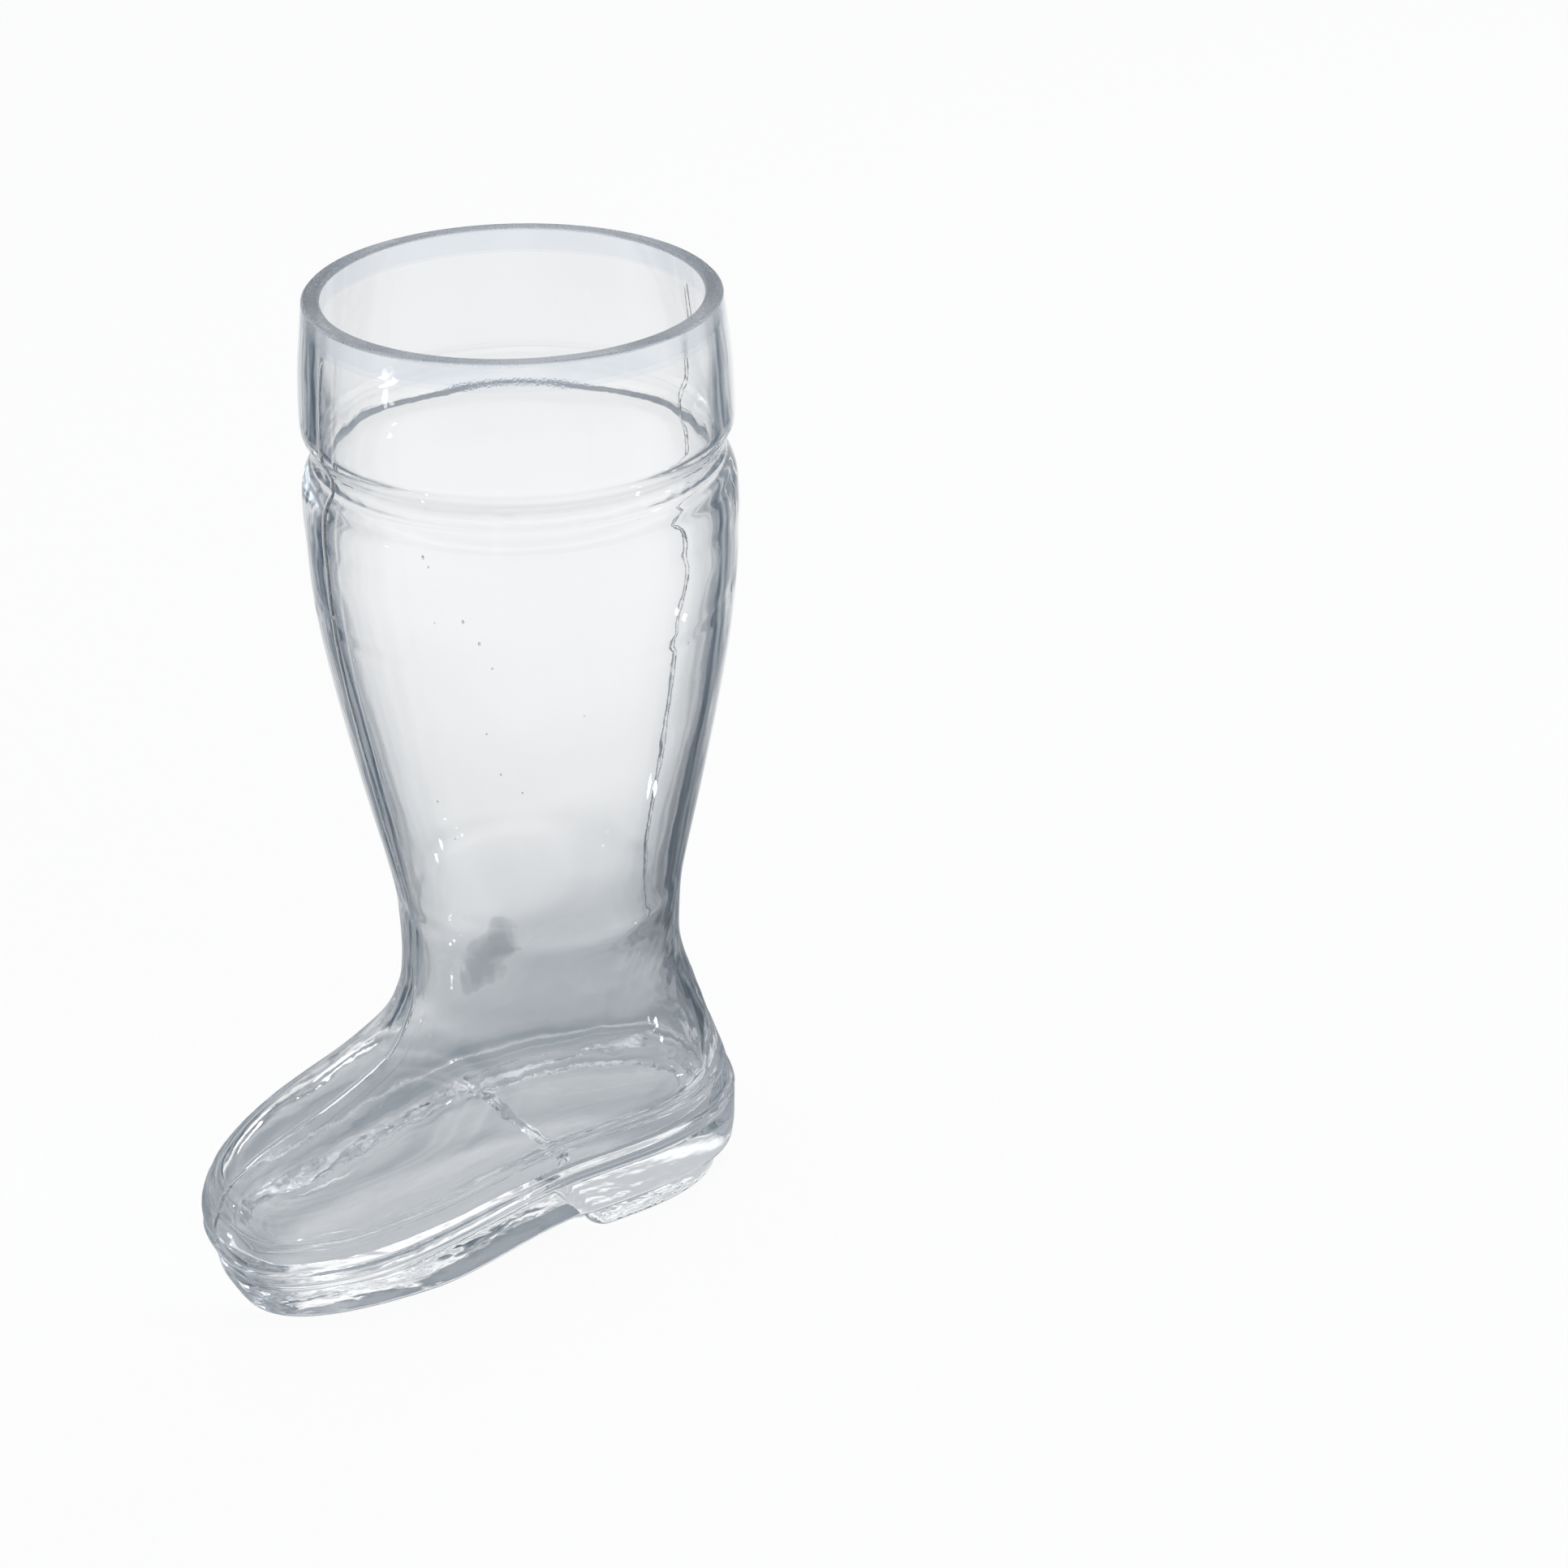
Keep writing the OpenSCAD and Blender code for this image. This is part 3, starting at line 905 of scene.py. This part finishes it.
        wave += self.floor_edge_ripple.over(inner) * bell(above, *self.floor_edge)
        groove_mid = (form.groove_z + form.cuff_z) / 2
        wave += self.groove_ripple.over(inner) * bell(z, groove_mid, self.groove_reach)
        begun = ease(np.arange(len(inner)) / self.still_rows)[:, None]
        inner_n = grid_normals(inner)
        self.inner = inner - inner_n * (wave * plain * begun)[..., None]
        self.inner_n = -grid_normals(self.inner)

    def shell(self, low: int, high: int, top: Face = Face.JOINT,
              crown: np.ndarray | None = None) -> PieceMesh:
        """Makes the closed shell between two rows of the skins.

        Args:
            low: The lower row.
            high: The upper row.
            top: The kind of the faces that close it above.
            crown: Points and normals of the rings that lie there, from the outside in.

        Returns:
            The piece, with joint faces where it meets its neighbours.
        """
        columns = self.form.columns
        if crown is None:
            crown = np.empty((2, 0, columns.count, 3))
        span, steps = slice(low, high + 1), high - low
        seamed = self.marks["welt_top"] <= low < self.marks["cuff"]
        skin = np.where(columns.under_seams & seamed, Face.JOINT, Face.SKIN)
        mesh = PieceMesh()
        rows = mesh.add_loft(
            np.concatenate([self.outer[span], crown[0], self.inner[span][::-1]]),
            np.concatenate([self.outer_n[span], crown[1], self.inner_n[span][::-1]]),
            [skin] * steps + [top] * (len(crown[0]) + 1) + [Face.SKIN] * steps)
        mesh.add_band(rows[-1], rows[0], Face.JOINT)
        return mesh

    def rim_crown(self) -> np.ndarray:
        """Draws the rim's ground top with its two fine bevels.

        Returns:
            The points of its rings and their normals.
        """
        form = self.form
        top = self.outer[self.marks["rim"]]
        angle = np.arctan2(top[:, 1], top[:, 0])
        way = np.column_stack([np.cos(angle), np.sin(angle)])
        # How far in from the edge, how far down from the top, and the normal's lean.
        steps = ((0.12, 0.62, 0.8), (0.62, 0.12, 0.3), (0.8, 0.0, 0.0))
        rings, normals = [], []
        for edge, side, order in ((form.rim_r, 1, steps),
                                  (form.rim_r - form.wall_t, -1, steps[::-1])):
            for deep, down, lean in order:
                rings.append(lifted((edge - side * deep) * way, form.boot_h - down))
                normals.append(lifted(side * lean * way, math.sqrt(1 - lean * lean)))
        return np.array([rings, normals])

    def build(self) -> None:
        """Builds every piece of the shell."""
        seeds = Seeds(self.form)
        rim = self.shell(self.marks["cuff"], self.marks["rim"], Face.GROUND, self.rim_crown())
        self.palette.finish_piece(rim.to_bmesh(), "rim", GROUND)
        front, back = -self.toe_cap_x, -self.counter_x
        for name, foot, head, cuts, finish in (
                ("cuff", "groove", "cuff", (), CLEAR),
                ("collar_groove", "shoulder", "groove", (), CLEAR),
                ("shoulder", "leg", "shoulder", (), CLEAR),
                ("leg", "ankle", "leg", (), CLEAR),
                ("ankle", "instep", "ankle", (), FOOT_GLASS),
                ("toe_cap", "welt_top", "instep", ((front, 1),), FOOT_GLASS),
                ("vamp", "welt_top", "instep", ((front, -1), (back, 1)), FOOT_GLASS),
                ("heel_counter", "welt_top", "instep", ((back, -1),), FOOT_GLASS),
                ("welt", "sole", "welt_top", (), FOOT_GLASS)):
            low, high = self.marks[foot], self.marks[head]
            bm = self.shell(low, high).to_bmesh()
            if name in ("leg", "shoulder"):
                seeds.add_to(bm, self.outer[low, 0, 2], self.outer[high, 0, 2])
            for x, side in cuts:
                cut_away(bm, x, (side, 0, 0))
            self.palette.finish_piece(bm, name, finish)


@dataclass
class Seeds:
    """The small bubbles in the glass of the leg and the shoulder."""

    form: BootForm
    places: tuple[tuple[float, float, float], ...] = (
        (-145, 191, 0.3), (-143.5, 189, 0.2), (-135, 177, 0.3), (-131, 172, 0.3), (-128, 166, 0.22),
        (-173, 160, 0.3), (178, 168, 0.26), (-128, 138, 0.24), (-122, 133, 0.2), (-70, 163, 0.22),
        (-64, 121, 0.2), (-146, 118, 0.18), (-150, 128, 0.22), (60, 152, 0.26), (95, 139, 0.26),
        (20, 160, 0.24), (140, 120, 0.26), (40, 112, 0.22), (-131, 149, 0.2))
    stretch: float = 1.7

    def add_to(self, bm: bmesh.types.BMesh, low: float, high: float) -> None:
        """Adds the bubbles between two heights to a piece as voids.

        Args:
            bm: The piece's mesh, in metres.
            low: Height of the piece's foot.
            high: Height of its top.
        """
        layer = bm.verts.layers.float_vector[NORMAL_LAYER]
        for turn, z, radius in self.places:
            if not low + 1 < z < high - 1:
                continue
            a = math.radians(turn)
            r = float(self.form.at(z, 1)) - self.form.wall_t * 0.45
            centre = Vector((r * math.cos(a) + BOOT_SHIFT, r * math.sin(a), z)) * MM
            verts = bmesh.ops.create_icosphere(bm, subdivisions=2, radius=radius * MM)["verts"]
            for v in verts:
                v[layer] = -v.co.normalized()
                v.co = Vector((v.co.x, v.co.y, v.co.z * self.stretch)) + centre
            faces = {f for v in verts for f in v.link_faces}
            bmesh.ops.reverse_faces(bm, faces=list(faces))
            for face in faces:
                face.smooth = True


@dataclass
class Seam:
    """A raised mould line on the outer skin."""

    upper: Upper
    name: str
    middle: int
    height: float = 0.36
    roughness: float = 0.0
    fullness: float = 0.7
    notches: Wave = Wave(1.3, 14.2)

    def build(self) -> None:
        """Builds the seam as a thin closed strip whose underside lies on the skin."""
        upper, columns = self.upper, self.upper.form.columns
        low, high = upper.marks["welt_top"], upper.marks["cuff"]
        k = columns.seam_steps
        at = (self.middle + np.arange(-k, k + 1)) % columns.count
        base = upper.outer[low:high + 1][:, at]
        normals = upper.outer_n[low:high + 1][:, at]
        across = np.array(columns.near_seam[:k + 1]) / columns.near_seam[k]
        shape = (1 - np.concatenate([across[::-1], across[1:]]) ** 2) ** self.fullness
        rows = np.arange(high - low + 1)
        taper = ease(rows / 3.0) * ease((rows[-1] - rows) / 3.0)
        rise = self.height * np.outer(taper, shape)
        if self.roughness:
            rise *= 1 + self.roughness * self.notches.over(base)
        top = base + normals * rise[..., None]
        mesh = PieceMesh()
        above = mesh.add_points(top, grid_normals(top, wrap=False))
        under = mesh.add_points(base, -normals)
        for i in range(len(rows) - 1):
            mesh.add_band(above[i], above[i + 1], Face.SKIN, wrap=False)
            mesh.add_band(under[i + 1], under[i], Face.JOINT, wrap=False)
        upper.palette.finish_piece(mesh.to_bmesh(), self.name, CLEAR)


@dataclass
class Underfoot:
    """The solid glass under the foot: the sole with its shank, the heel block and its tap."""

    upper: Upper
    heel_proud: float = 0.7
    tap_h: float = 5.6
    tap_inset: float = 4.6
    tap_side_inset: float = 0.9
    breast_x: float = 2.5
    breast_lean: float = 34.0
    edge_r: float = 1.6
    tap_edge_r: float = 1.4
    wall_rows: int = 12
    wall_levels: int = 30
    wall_passes: int = 6
    row_bunching: float = 1.3
    proud_run: float = 3.0
    join_h: float = 1.6
    lip_inset: float = 3.0
    lip_fade: tuple[float, float] = (-12.0, 5.0)
    under_spine: float = 24.0
    under_steps: int = 8
    floor_spine: float = 10.0
    floor_steps: int = 12
    tap_spine: float = 18.0
    tap_steps: int = 6
    tap_corner: float = 4.0
    tap_toe: float = 0.94
    heel_low: float = 0.93
    toe_low: float = 0.958
    floor_swell: Wave = Wave(30, 31.3, 0.25)
    floor_ripple: Wave = Wave(11, 37.9, 0.07)

    def breast_at(self, z: np.ndarray | float) -> np.ndarray:
        """Returns the place of the heel's front face at a height."""
        return -self.breast_x - z * math.tan(math.radians(self.breast_lean))

    def under_z(self, x: np.ndarray) -> np.ndarray:
        """Returns the height of the shank's underside."""
        a, b = -self.upper.form.toe_reach * 0.53, float(self.breast_at(self.tap_h))
        return self.tap_h * ease((x - a) / (b - a))

    def wall_ring(self, z: np.ndarray, inset: float) -> np.ndarray:
        """Finds the sole's wall with one height for each column.

        Args:
            z: Heights of the columns.
            inset: How far the ring is set in.

        Returns:
            The ring's places in plan.
        """
        form = self.upper.form
        levels = np.linspace(0, form.heel_seat_z + 1, self.wall_levels)
        rings = []
        for level in levels:
            up = min(level / form.heel_seat_z, 1)
            rings.append(form.columns.ring(form.half_line(
                level, form.toe_reach * lerp(self.toe_low, 1, up) - inset,
                form.heel_reach * lerp(self.heel_low, 1, up) - inset, form.sole_half_w - inset)))
        at = np.interp(z, levels, np.arange(len(levels)))
        return blend(np.array(rings), at, np.arange(len(at)))

    def slab_rings(self) -> tuple[np.ndarray, int]:
        """Lays the rings of the sole and heel block from their top edge down and in.

        Returns:
            The rings, and the number of the last one on the wall's rounded bottom edge.
        """
        form, upper = self.upper.form, self.upper
        top = upper.outer[0]
        rings = [top]
        xy = top[:, :2]
        for s in np.linspace(0, 1, self.wall_rows + 1)[1:]:
            share = s ** self.row_bunching
            for _ in range(self.wall_passes):
                low = self.under_z(xy[:, 0]) + self.edge_r
                z = lerp(form.welt_z(top[:, 0]), low, share)
                plain = self.wall_ring(z, 0.0)
                proud = self.heel_proud * ease((plain[:, 0] - self.breast_at(z)) / self.proud_run)
                grown = self.wall_ring(z, -1.0) - plain
                xy = plain + grown * proud[:, None]
            depth = form.welt_z(top[:, 0]) - z
            apart = ease(depth / self.join_h)[:, None]
            rings.append(lifted(top[:, :2] * (1 - apart) + xy * apart, z))
        edge = rings[-1]
        inward = self.wall_ring(edge[:, 2], 1.0) - self.wall_ring(edge[:, 2], 0.0)
        for a in np.linspace(0, math.pi / 2, 6)[1:]:
            moved = edge[:, :2] + inward * self.edge_r * (1 - math.cos(a))
            z = self.under_z(moved[:, 0]) + self.edge_r * (1 - math.sin(a))
            rings.append(lifted(moved, z))
        last = len(rings) - 1
        lip = form.columns.ring(self.tap_line(self.tap_h, 0.0, self.tap_toe))
        heel = 1 - fade(lip[:, 0], *self.lip_fade)[:, None]
        ring = (edge[:, :2] + inward * self.lip_inset) * (1 - heel) + lip * heel
        rings.append(lifted(ring, self.under_z(ring[:, 0])))
        for closer in closing_rings(rings[-1], self.under_spine, self.under_steps)[1:]:
            closer[:, 2] = self.under_z(closer[:, 0])
            rings.append(closer)
        return np.array(rings), last

    def tap_line(self, z: float, inset: float, reach: float) -> np.ndarray:
        """Draws half of the tap's contour on the +Y side, run on past its front to the toe.

        Args:
            z: Height of the contour.
            inset: How far it is set in.
            reach: Where it ends, as a share of the toe's reach.

        Returns:
            Dense points from the heel to the toe.
        """
        form = self.upper.form
        back = (form.heel_reach * lerp(self.heel_low, 1, z / form.heel_seat_z) - self.tap_inset
                + self.heel_proud - inset)
        half = form.sole_half_w + self.heel_proud - self.tap_side_inset - inset
        return form.half_line(z, form.toe_reach * reach, back, half)

    def tap_half(self, z: float, inset: float) -> np.ndarray:
        """Draws half of the tap's contour on the +Y side, with its straight front.

        Args:
            z: Height of the contour.
            inset: How far it is set in.

        Returns:
            Dense points from the heel to the middle of the front.
        """
        line = self.tap_line(z, inset, 1.0)
        front = float(self.breast_at(z)) + inset
        r = self.tap_corner - min(inset, 2.0)
        kept = line[line[:, 0] > front + r]
        side = float(np.interp(-(front + r), -line[:, 0], line[:, 1]))
        a = np.radians(np.linspace(0, 90, 24))
        corner = np.column_stack([front + r - r * np.sin(a), side - r + r * np.cos(a)])
        return np.concatenate([kept, corner, [[front, 0.0]]])

    def slab(self) -> PieceMesh:
        """Makes the closed slab that the breast's plane parts into sole and heel block.

        Returns:
            The slab.
        """
        form, upper = self.upper.form, self.upper
        rings, last = self.slab_rings()
        joined = np.concatenate([upper.outer[:4][::-1], rings[1:last + 1]])
        below = slope_normals(self.under_z, rings[last + 1:, :, 0])
        normals = np.concatenate([-grid_normals(joined)[3:], below])
        mesh = PieceMesh()
        rows = mesh.add_loft(rings[::-1], normals[::-1], Face.SKIN)
        floor = closing_rings(upper.inner[0], self.floor_spine, self.floor_steps)
        wave = self.floor_swell.over(floor) + self.floor_ripple.over(floor)
        wave *= ease(1 - np.linspace(1, 0, self.floor_steps + 1))[:, None]
        floor[..., 2] = form.welt_z(floor[..., 0]) + wave
        up = -slope_normals(form.welt_z, floor[..., 0])
        floor_rows = mesh.add_loft(floor, up, Face.SKIN)
        mesh.add_band(rows[-1], floor_rows[0], Face.JOINT)
        return mesh

    def build_tap(self) -> None:
        """Builds the tap on which the heel stands, with rounded corners and bottom edge."""
        columns = self.upper.form.columns
        places = [(self.tap_edge_r * (1 - math.sin(a)), self.tap_edge_r * (1 - math.cos(a)))
                  for a in np.linspace(math.pi / 2, 0, 7)]
        places += [(z, 0.0) for z in np.linspace(self.tap_edge_r, self.tap_h, 5)[1:]]
        wall = np.array([lifted(columns.ring(self.tap_half(z, inset)), z)
                         for z, inset in places])
        mesh = PieceMesh()
        mesh.add_loft(wall, grid_normals(wall), Face.SKIN)
        for ring, order, kind in ((wall[0], -1, Face.SKIN), (wall[-1], 1, Face.JOINT)):
            rings = closing_rings(ring, self.tap_spine, self.tap_steps)[::order]
            mesh.add_loft(rings, np.broadcast_to((0.0, 0.0, order), rings.shape), kind)
        self.upper.palette.finish_piece(mesh.to_bmesh(), "heel_tap", FOOT_GLASS)

    def build(self) -> None:
        """Builds the sole, the heel block and the tap."""
        lean = math.radians(self.breast_lean)
        ahead = (math.cos(lean), 0.0, math.sin(lean))
        for name, side in (("sole", 1), ("heel_block", -1)):
            bm = self.slab().to_bmesh()
            cut_away(bm, -self.breast_x, tuple(side * v for v in ahead))
            if side < 0:
                self.mark_tap_joint(bm)
            self.upper.palette.finish_piece(bm, name, FOOT_GLASS)
        self.build_tap()

    def mark_tap_joint(self, bm: bmesh.types.BMesh) -> None:
        """Marks the part of the heel block's underside that lies on the tap.

        Args:
            bm: The heel block, in metres.
        """
        half = self.upper.form.columns.ring(self.tap_line(self.tap_h, 0.0, self.tap_toe))
        half = half[:len(half) // 2 + 1]
        for face in bm.faces:
            middle = face.calc_center_median() / MM
            x = middle.x - BOOT_SHIFT
            if abs(middle.z - self.tap_h) > 0.02 or x > half[0, 0]:
                continue
            if abs(middle.y) < np.interp(-x, -half[:, 0], half[:, 1]):
                face.material_index = Face.JOINT


@dataclass
class Studio:
    """The floor, the surrounding light, the lamps and the camera."""

    camera_at: tuple[float, float, float] = (-0.2839, -0.5673, 0.4609)
    camera_turn: tuple[float, float, float] = (61.466, 0.0, -33.541)
    lens: float = 70.68
    floor_size: float = 8.0
    floor_z: float = -0.00002
    floor_color: tuple[float, float, float, float] = (0.86, 0.87, 0.88, 1.0)
    floor_glow: float = 0.9
    far_half: tuple[float, float] = (3.0, 0.6)
    bounces: int = 96
    clear_bounces: int = 128
    sky: Stops = (
        (0.0, 0.98), (0.07, 0.9), (0.12, 0.4), (0.16, 0.26), (0.26, 0.28), (0.31, 0.45),
        (0.34, 1.15), (0.4, 1.15), (0.43, 0.78), (0.53, 0.68), (0.565, 0.7), (0.605, 1.22),
        (0.645, 1.22), (0.685, 0.72), (0.715, 0.7), (0.738, 1.15), (0.762, 1.15), (0.785, 0.4),
        (0.82, 0.14), (0.88, 0.16), (0.925, 0.8), (1.0, 1.0))
    # Turn of the painted shade's sectors on the floor.
    table_turn: float = 33.5
    # Painted shadow round the boot in the floor's glow, seen only in the glass: darker close to the
    # boot.
    painted_shadow_shift: tuple[float, float] = (0.006, 0.012)
    painted_shadow_squeeze: float = 0.45
    # A painted dark patch on the floor, seen only in the glass, where there is only shade.
    painted_patch_at: tuple[float, float] = (0.0575, 0.106)
    painted_patch_turn: float = -40.0
    painted_patch_size: tuple[float, float] = (0.0115, 0.0205)
    painted_patch_shades: Stops = ((0.0, 0.5), (0.5, 0.56), (0.78, 0.74), (1.0, 1.0))
    # Where the painted shade in sectors acts, by distance from the boot.
    painted_side_reach: Stops = ((0.07, 0.0), (0.15, 1.0), (0.8, 1.0), (1.0, 0.55))
    # Greys of the painted shadow, by distance from the boot.
    painted_shadow_shades: Stops = (
        (0.0, 0.6), (0.012, 0.56), (0.0205, 0.6), (0.0255, 0.35), (0.029, 0.43), (0.034, 0.48),
        (0.041, 0.52), (0.048, 0.4), (0.058, 0.29), (0.069, 0.25), (0.086, 0.42),
        (0.118, 0.53), (0.155, 0.74), (0.195, 0.87), (0.26, 0.94), (0.36, 0.97), (0.6, 0.9),
        (1.0, 0.84))
    # Greys of the painted shade in sectors behind the boot, across the view.
    painted_side_shades: Stops = (
        (0.0, 0.75), (0.015, 0.7), (0.03, 0.1), (0.09, 0.04), (0.106, 0.5), (0.12, 0.45),
        (0.135, 0.03), (0.175, 0.06), (0.19, 0.46), (0.205, 0.16), (0.235, 0.62), (0.262, 0.4),
        (0.295, 0.86), (0.36, 1.0), (0.63, 1.0), (0.68, 0.88), (0.7, 0.55), (0.715, 0.76),
        (0.74, 0.24), (0.79, 0.1), (0.82, 0.5), (0.86, 0.04), (0.9, 0.1), (0.915, 0.5),
        (0.935, 0.1), (0.97, 0.15), (0.985, 0.7), (1.0, 0.75))

    def build(self) -> None:
        """Builds everything round the boot."""
        self.build_floor()
        self.build_world()
        self.build_lamps()
        self.build_camera()
        scene = bpy.context.scene
        scene.view_settings.view_transform = "Standard"
        scene.cycles.max_bounces = self.bounces
        scene.cycles.transmission_bounces = self.bounces
        scene.cycles.glossy_bounces = self.bounces
        scene.cycles.transparent_max_bounces = self.clear_bounces

    def build_floor(self) -> None:
        """Builds the pale floor, which is white to the camera and keeps the boot's shadow."""
        mesh = bpy.data.meshes.new("studio_floor")
        s, z = self.floor_size / 2, self.floor_z
        mesh.from_pydata([(-s, -s, z), (s, -s, z), (s, s, z), (-s, s, z)], [], [(0, 1, 2, 3)])
        floor = put_in_scene("studio_floor", mesh)
        material = bpy.data.materials.new("white_floor")
        material.use_nodes = True
        kit = NodeKit(material.node_tree)
        shader = kit.nodes["Principled BSDF"]
        kit.fill(shader, {"Base Color": self.floor_color, "Roughness": 0.9,
                          "Specular IOR Level": 0.0})
        # The glow that the glass sees carries the painted shadow and the painted shade.
        glow = kit.add("Emission", {"Strength": 1.0, "Color": self.painted_floor_shade(kit)})
        rays = kit.add("LightPath").outputs
        seen = kit.math("MAXIMUM", rays["Is Camera Ray"], rays["Is Glossy Ray"])
        seen = kit.math("MAXIMUM", seen, rays["Is Transmission Ray"])
        mix = kit.add("MixShader", {"Fac": kit.math("MULTIPLY", seen, self.floor_glow),
                                    1: shader.outputs[0], 2: glow.outputs[0]})
        kit.fill(kit.nodes["Material Output"], {"Surface": mix.outputs[0]})
        mesh.materials.append(material)
        LOG.info("floor of %.1f m", self.floor_size)

    def painted_floor_shade(self, kit: NodeKit) -> Socket:
        """Adds the painted shade in the floor's glow, standing in for the shade on a studio table.

        It is white to the camera. Seen in the glass it holds a painted shadow close to the boot,
        painted shade in sectors behind it and a painted dark patch.

        Args:
            kit: Adds the nodes to the floor's tree.

        Returns:
            The output that holds the colour.
        """
        place = kit.add("TexCoord").outputs["Object"]
        turned = kit.add("Mapping", {
            "Vector": place, "Rotation": (0.0, 0.0, math.radians(self.table_turn))}).outputs[0]
        # Place in the painted shadow's oval round the boot.
        oval = kit.add("Mapping", {
            "Vector": place, "Location": (*self.painted_shadow_shift, 0.0),
            "Scale": (self.painted_shadow_squeeze, 1.0, 1.0)}).outputs[0]
        # Place on the painted dark patch.
        painted_patch = kit.add("Mapping", vector_type="TEXTURE", given={
            "Vector": place, "Location": (*self.painted_patch_at, 0.0),
            "Rotation": (0.0, 0.0, math.radians(self.painted_patch_turn)),
            "Scale": (*self.painted_patch_size, 1.0)}).outputs[0]
        near = kit.length(turned)
        split = kit.add("SeparateXYZ", {0: turned}).outputs
        across = kit.math("MULTIPLY_ADD", kit.math("DIVIDE", split["X"], near), 0.5, 0.5)
        behind = kit.math("MULTIPLY_ADD", kit.math("DIVIDE", split["Y"], near),
                          *self.far_half, clamp=True)
        reach = kit.math("MULTIPLY", kit.ramp(self.painted_side_reach, near), behind)
        # Painted shadow round the boot, times the painted dark patch.
        painted_shadow = kit.mix(1.0, kit.ramp(self.painted_shadow_shades, kit.length(oval)),
                      kit.ramp(self.painted_patch_shades, kit.length(painted_patch)), "MULTIPLY")
        # Painted shade in sectors behind the boot, where the glass looks.
        sides = kit.ramp(self.painted_side_shades, across)
        return kit.white_to_camera(kit.mix(reach, painted_shadow, sides, "MULTIPLY"))

    def build_world(self) -> None:
        """Builds the surrounding light.

        It is white to the camera. To the glass it is white overhead and at the horizon, with a
        grey wall and bright strips between.
        """
        world = bpy.data.worlds.new("studio_light")
        bpy.context.scene.world = world
        world.use_nodes = True
        kit = NodeKit(world.node_tree)
        way = kit.add("TexCoord").outputs["Generated"]
        height = kit.add("SeparateXYZ", {0: way}).outputs["Z"]
        shade = kit.white_to_camera(kit.ramp(self.sky, height))
        kit.fill(kit.nodes["Background"], {"Color": shade})

    def build_lamps(self) -> None:
        """Builds the soft lamps whose reflections lie on the glass."""
        for name, at, look, size, watts in (
                ("lamp_key", (1.2, -0.69, 1.0), (0.0, 0.0, 0.2), (0.3, 0.2), 9),
                ("lamp_back", (-0.25, 1.9, 0.5), (0.0, 0.0, 0.05), (0.45, 0.12), 0.7),
                ("panel_cuff", (-1.316, 0.207, 0.002), (-1.316, 0.208, 1.0), (0.12, 0.08), 0.25),
                ("panel_shoulder", (0.31, -0.166, 0.002), (0.31, -0.165, 1.0), (0.02, 0.02), 0.016),
                ("panel_heel", (0.152, -0.096, 0.002), (0.152, -0.095, 1.0), (0.007, 0.007), 0.003),
                ("panel_ankle", (-0.109, 0.026, 0.002), (-0.109, 0.027, 1.0), (0.004, 0.005),
                 0.0008)):
            data = bpy.data.lights.new(name, "AREA")
            data.shape = "RECTANGLE"
            data.size, data.size_y = size
            data.energy = watts
            lamp = put_in_scene(name, data)
            lamp.location = at
            way = Vector(look) - Vector(at)
            lamp.rotation_euler = way.to_track_quat("-Z", "Y").to_euler()

    def build_camera(self) -> None:
        """Puts the camera at the photograph's viewing angle."""
        data = bpy.data.cameras.new("camera")
        data.lens = self.lens
        data.sensor_width = 36.0
        data.clip_start = 0.01
        data.clip_end = 50.0
        camera = put_in_scene("camera", data)
        camera.location = self.camera_at
        camera.rotation_euler = tuple(math.radians(a) for a in self.camera_turn)
        bpy.context.scene.camera = camera


def main() -> None:
    """Builds the boot piece by piece, and the studio round it."""
    logging.basicConfig(level=logging.INFO, format="%(name)s: %(message)s")
    upper = Upper(BootForm(), Palette())
    upper.build()
    Seam(upper, "front_seam", upper.form.columns.toe).build()
    Seam(upper, "back_seam", 0, roughness=0.8).build()
    Underfoot(upper).build()
    Studio().build()


if __name__ == "__main__":
    main()
